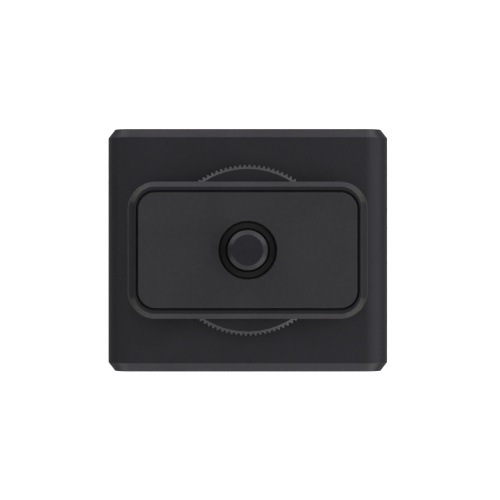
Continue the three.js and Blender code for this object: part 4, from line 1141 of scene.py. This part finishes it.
def lens_barrel():
    front, back = barrel_low.y, barrel_high.y
    mouth = ELEMENT_RADIUS + GAP
    baffles = []
    for i in range(BAFFLES):
        radius, reach = mouth + BAFFLE_WIDTH * (i + 1), front + 0.3 * MM * (BAFFLES - i)
        baffles += [(radius - BAFFLE_WIDTH, reach), (radius, reach)]
    throat = REAR_GLASS_RADIUS - 0.8 * MM
    seat = rear_glass_low.y - GAP
    profile = [
        (BARREL_RADIUS, front),
        (BARREL_RADIUS, back),
        (REAR_GLASS_RADIUS + GAP, back),
        (REAR_GLASS_RADIUS + GAP, seat),
        (throat, seat),
        (throat, element_high.y + GAP),
        (mouth, element_high.y + GAP),
        *baffles,
        (mouth + BAFFLES * BAFFLE_WIDTH, front),
    ]
    return turned(profile, "Y", LENS_CENTRE, 128, ring=True)


def domed_glass():
    """The front glass: its front is part of a sphere."""
    bulge = (ELEMENT_RADIUS**2 + DOME_RISE**2) / (2 * DOME_RISE)
    steps = 14
    widest = math.asin(ELEMENT_RADIUS / bulge)
    arc = []
    for i in range(steps + 1):
        angle = widest * i / steps
        arc.append((bulge * math.sin(angle), element_low.y + bulge * (1 - math.cos(angle))))
    return turned([*arc, (ELEMENT_RADIUS, element_high.y), (0, element_high.y)], "Y", LENS_CENTRE, 96)


place(lens_ring(), "lens_ring", "turned_lens", "camera", ["lens_ring"], 0.05 * MM)
place(lens_window(), "lens_window", "window_glass", "camera", ["lens_window"])
place(lens_barrel(), "lens_barrel", "baffle_black_and_groove_shade", "camera", ["lens_barrel"])
place(domed_glass(), "lens_front_glass", "lens_glass", "camera", ["lens_front_element"])
print("lens ring", round(2 * RING_RADIUS / MM, 1), "mm across")

# %% [markdown]
# ## Buttons
# Each button is a turned cap with a flange that keeps it in the wall. Its crown is dished a little, so that
# a finger finds the middle, and its edge is chamfered. The caps ride on their own bodies. Pressed, a real
# button goes in by half a millimetre.

# %% Buttons
CAP_CHAMFER = 0.3 * MM
CAP_DISH = 0.22 * MM
DISH_STEPS = 6


def button_cap(name, radius, y, z):
    low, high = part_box(f"{name}_button")
    flange_face = housing_high.x - WALLS["side"] - GAP
    rim = radius - 0.9 * MM
    shares = [i / DISH_STEPS for i in range(DISH_STEPS + 1)]
    hollow = [(rim * share, high.x - CAP_DISH * (1 - share**2)) for share in shares]
    profile = [
        *hollow,
        (radius - CAP_CHAMFER, high.x),
        (radius, high.x - CAP_CHAMFER),
        (radius, flange_face),
        (radius + BUTTON_FLANGE, flange_face),
        (radius + BUTTON_FLANGE, low.x),
        (0, low.x),
    ]
    return turned(profile, "X", (0, y, z), 96)


for name, (radius, y, z) in button_places().items():
    cap, button = button_cap(name, radius, y, z), f"{name}_button"
    place(cap, button, "anodised_dark", name, [button], 0.05 * MM)
print("buttons:", list(button_places()))

# %% [markdown]
# ## Side door
# The door is a flat panel with round front corners. Its hinge edge is a half-round knuckle on a steel pin,
# so it can turn inside the doorway. On its inner side a raised plug carries the seal, and a small sliding
# latch runs in a pocket near its free edge.

# %% Door
pin_low, pin_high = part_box("door_hinge_pin")
seal_low, seal_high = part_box("door_seal")
thumb_low, thumb_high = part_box("latch_thumb")
bolt_low, bolt_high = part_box("latch_bolt")
PANEL_INNER = housing_low.x + WALLS["side"]
HINGE = centre_of(pin_low, pin_high)
KNUCKLE = WALLS["side"] / 2
PIN_HOLE = 0.56 * MM
PLUG_MARGIN = 0.6 * MM
LATCH_TRAVEL = 1.8 * MM
POCKET_DEPTH = 0.7 * MM
NECK = (0.7 * MM, 1.5 * MM)
_, LATCH_Y, LATCH_Z = centre_of(thumb_low, thumb_high)


def ring_round(low, high, width, x0, x1, corner):
    """A flat rectangular ring in the plane across X, for the seal and its groove."""
    outer = slab((x0, low.y, low.z), (x1, high.y, high.z), corner, "X", 8)
    inner_low = (x0 - MM, low.y + width, low.z + width)
    inner_high = (x1 + MM, high.y - width, high.z - width)
    inner = slab(inner_low, inner_high, max(corner - width, 0.2 * MM), "X", 8)
    return carve(outer, [inner])


def side_door():
    low, high = (housing_low.x, door_low.y, door_low.z), (PANEL_INNER, door_high.y, door_high.z)
    panel = door_panel(low, high, DOOR_CORNER)
    past_pin = slab(
        (housing_low.x - MM, HINGE[1], door_low.z - MM),
        (PANEL_INNER + MM, door_high.y + MM, door_high.z + MM),
    )
    panel = carve(panel, [past_pin])
    knuckle = rod(KNUCKLE, door_low.z, door_high.z, "Z", HINGE, 48)
    plug = slab(
        (PANEL_INNER - 0.3 * MM, seal_low.y - PLUG_MARGIN, seal_low.z - PLUG_MARGIN),
        (door_high.x, seal_high.y + PLUG_MARGIN, seal_high.z + PLUG_MARGIN),
        1.6 * MM,
        "X",
        8,
    )
    door = weld(panel, [knuckle, plug])
    grown = Vector((GAP, GAP, GAP))
    x0, x1 = seal_low.x - GAP, door_high.x + MM
    groove = ring_round(seal_low - grown, seal_high + grown, 1.3 * MM, x0, x1, 1.5 * MM)
    pocket = slab(
        (housing_low.x - MM, thumb_low.y - SLIP, thumb_low.z - SLIP),
        (housing_low.x + POCKET_DEPTH, thumb_high.y + SLIP, thumb_high.z + LATCH_TRAVEL + SLIP),
        1 * MM,
        "X",
        8,
    )
    half_y, half_z = NECK[0] + SLIP, NECK[1] + SLIP
    neck_slot = slab(
        (housing_low.x - MM, LATCH_Y - half_y, LATCH_Z - half_z),
        (PANEL_INNER + 2 * MM, LATCH_Y + half_y, LATCH_Z + half_z + LATCH_TRAVEL),
    )
    pin_hole = rod(PIN_HOLE, door_low.z - MM, door_high.z + MM, "Z", HINGE, 24)
    return carve(door, [groove, pocket, neck_slot, pin_hole])


place(side_door(), "side_door", "anodised", "door", ["side_door"], 0.07 * MM)
seal = ring_round(seal_low, seal_high, 1.1 * MM, seal_low.x, seal_high.x, 1.4 * MM)
place(seal, "door_seal", "silicone", "door", ["door_seal"], 0.3 * MM, 4)


# %% Latch
GRIP_PITCH = 1.3 * MM
GRIP_DEPTH = 0.28 * MM


def latch_thumb():
    pocket_floor = housing_low.x + POCKET_DEPTH - GAP
    key = slab(thumb_low, (pocket_floor, thumb_high.y, thumb_high.z), 0.9 * MM, "X", 8)
    neck = slab(
        (pocket_floor - 0.2 * MM, LATCH_Y - NECK[0], LATCH_Z - NECK[1]),
        (thumb_high.x, LATCH_Y + NECK[0], LATCH_Z + NECK[1]),
    )
    grips = []
    for z in (LATCH_Z - GRIP_PITCH, LATCH_Z, LATCH_Z + GRIP_PITCH):
        low = (thumb_low.x - MM, thumb_low.y - MM, z - GRIP_DEPTH)
        high = (thumb_low.x + GRIP_DEPTH, thumb_high.y + MM, z + GRIP_DEPTH)
        grips.append(slab(low, high))
    return carve(weld(key, [neck]), grips)


bolt = slab(bolt_low, bolt_high)
place(latch_thumb(), "latch_thumb", "anodised_dark", "latch", ["latch_thumb"], 0.08 * MM)
place(bolt, "latch_bolt", "bright_steel", "latch", ["latch_bolt"], 0.1 * MM)
print("door", round((door_high.y - door_low.y) / MM, 1), "mm long")

# %% [markdown]
# ## Foot
# The rubber foot has shallow grooves so that it grips, and a round hole round the threaded socket. The
# socket's thread is cut with the same climbing profile that made the camera screw, used as a cutter.

# %% Foot and socket
socket_low, socket_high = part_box("tripod_socket")
FOOT_HOLE = 5.6 * MM
GROOVE_HALF, GROOVE_DEPTH, GROOVE_PITCH = 0.4 * MM, 0.35 * MM, 3.1 * MM
GROOVE_START = 7 * MM
SOCKET_THREAD = (3.18 * MM, 0.55 * MM)
MOUTH_RADIUS, THROAT_RADIUS, MOUTH_DEPTH = 4.1 * MM, 2.6 * MM, 0.6 * MM


def foot():
    block = slab(foot_low, foot_high, FOOT_CORNER, "Z", 12)
    hole = rod(FOOT_HOLE, foot_low.z - MM, foot_high.z + MM, "Z", steps=96)
    grooves = []
    for i in range(-3, 4):
        y = i * GROOVE_PITCH
        for x0, x1 in ((foot_low.x - MM, -GROOVE_START), (GROOVE_START, foot_high.x + MM)):
            low = (x0, y - GROOVE_HALF, foot_low.z - MM)
            high = (x1, y + GROOVE_HALF, foot_low.z + GROOVE_DEPTH)
            grooves.append(slab(low, high))
    return carve(block, [hole, *grooves])


def tripod_socket():
    mouth, end = socket_low.z, socket_high.z
    flange_low, flange_high = cavity_low.z + GAP, cavity_low.z + GAP + MM
    profile = [
        (0, mouth),
        (SOCKET_RADIUS - 0.3 * MM, mouth),
        (SOCKET_RADIUS, mouth + 0.3 * MM),
        (SOCKET_RADIUS, flange_low),
        (socket_high.x, flange_low),
        (socket_high.x, flange_high),
        (SOCKET_RADIUS, flange_high),
        (SOCKET_RADIUS, end),
        (0, end),
    ]
    thread = threaded_rod(*SOCKET_THREAD, PITCH, mouth - MM, end - 0.8 * MM)
    outside, inside = mouth - MM, mouth + MOUTH_DEPTH
    cone = [(0, outside), (MOUTH_RADIUS, outside), (THROAT_RADIUS, inside), (0, inside)]
    return carve(turned(profile, "Z", steps=72), [thread, turned(cone, "Z", steps=72)])


place(foot(), "foot", "rubber", "camera", ["foot_pad"], 0.12 * MM, 3)
place(tripod_socket(), "tripod_socket", "bright_steel", "camera", ["tripod_socket"])
print("foot and socket done")

# %% [markdown]
# ## Ports behind the door
# With the door open, the end of the battery, the connector and the memory card show in their openings.
# The connector's shell is a rounded tube with a tongue and its contacts. The battery gets a pull tab.

# %% Connector, battery and card
usb_low, usb_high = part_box("usb_port")
battery_low, battery_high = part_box("battery_pack")
card_low, card_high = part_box("memory_card")
SHELL = 0.4 * MM
TONGUE_HALF = 0.35 * MM
TAB_HALF = 2.4 * MM
_, USB_Y, USB_Z = centre_of(usb_low, usb_high)


def connector():
    radius = (usb_high.y - usb_low.y) / 2 * 0.96
    tube = slab(usb_low, usb_high, radius, "X", 12)
    low = (usb_low.x - MM, usb_low.y + SHELL, usb_low.z + SHELL)
    high = (usb_high.x - MM, usb_high.y - SHELL, usb_high.z - SHELL)
    return carve(tube, [slab(low, high, radius - SHELL, "X", 12)])


def connector_tongue():
    return slab(
        (usb_low.x + 0.8 * MM, USB_Y - TONGUE_HALF, usb_low.z + 1.3 * MM),
        (usb_high.x - 0.5 * MM, USB_Y + TONGUE_HALF, usb_high.z - 1.3 * MM),
    )


def connector_contacts():
    """Flat contacts on both sides of the tongue."""
    count, pitch = 10, 0.5 * MM
    size = Matrix.Diagonal((4 * MM, 0.05 * MM, 0.26 * MM, 1))
    strips = bmesh.new()
    for y in (USB_Y - TONGUE_HALF - 0.01 * MM, USB_Y + TONGUE_HALF + 0.01 * MM):
        for i in range(count):
            z = USB_Z + (i - (count - 1) / 2) * pitch
            spot = Matrix.Translation((usb_low.x + 3.2 * MM, y, z))
            bmesh.ops.create_cube(strips, size=1, matrix=spot @ size)
    return strips


place(connector(), "connector_shell", "bright_steel", "camera", ["usb_port"], 0.08 * MM)
place(connector_tongue(), "connector_tongue", "moulded", "camera", edge=0.06 * MM)
place(connector_contacts(), "connector_contacts", "brass", "camera")
battery = slab(battery_low, battery_high, 1.2 * MM, "X", 8)
place(battery, "battery", "battery_wrap", "camera", ["battery_pack"], 0.25 * MM, 3)
card = slab(card_low, card_high)
place(card, "memory_card", "card_plastic", "camera", ["memory_card"], 0.1 * MM)


def battery_tab():
    _, middle_y, _ = centre_of(battery_low, battery_high)
    low = (battery_low.x - 0.5 * MM, middle_y - TAB_HALF, battery_high.z - 9 * MM)
    high = (battery_low.x - 0.02 * MM, middle_y + TAB_HALF, battery_high.z - 3 * MM)
    return slab(low, high, 1 * MM, "X", 6)


place(battery_tab(), "battery_tab", "tab", "camera", edge=0.12 * MM)

# %% Status light
light_low, light_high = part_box("status_light")


def status_light():
    flange = (light_high.x - light_low.x) / 2
    step = cover_high.y + GAP / 2
    profile = [
        (0, light_low.y),
        (LIGHT_RADIUS - 0.25 * MM, light_low.y),
        (LIGHT_RADIUS, light_low.y + 0.25 * MM),
        (LIGHT_RADIUS, step),
        (flange, step),
        (flange, light_high.y),
        (0, light_high.y),
    ]
    return turned(profile, "Y", centre_of(light_low, light_high), 48)


place(status_light(), "status_light", "light_pipe", "camera", ["status_light"])
print("ports and light done")

# %% [markdown]
# ## Solids that stay as they are
# Boards, switches, seals and the parts inside are right as solids. They only need their finish.

# %% Finish for every solid that stays
KEPT = {
    "dark_steel": ["retaining_clip", "door_hinge_pin", "shutter_switch", "power_switch"],
    "bright_steel": ["card_slot", "processor_shield"],
    "brass": ["bearing_bush", "microphone"],
    "acetal": ["thrust_washer"],
    "silicone": ["front_seal", "rear_seal", "shutter_seal", "power_seal"],
    "moulded": ["chassis_frame"],
    "solder_mask": ["main_board", "sensor_board", "button_board"],
    "component": ["image_sensor", "speaker", "display_module"],
    "lens_glass": ["lens_rear_element"],
}
KEPT["dark_steel"] += [name for name in nodes if name.startswith(("platform_screw", "base_screw"))]
for look, names in KEPT.items():
    for name in names:
        nodes[name].data.materials.clear()
        nodes[name].data.materials.append(finishes[look])
print("solids that stay:", sum(len(names) for names in KEPT.values()))
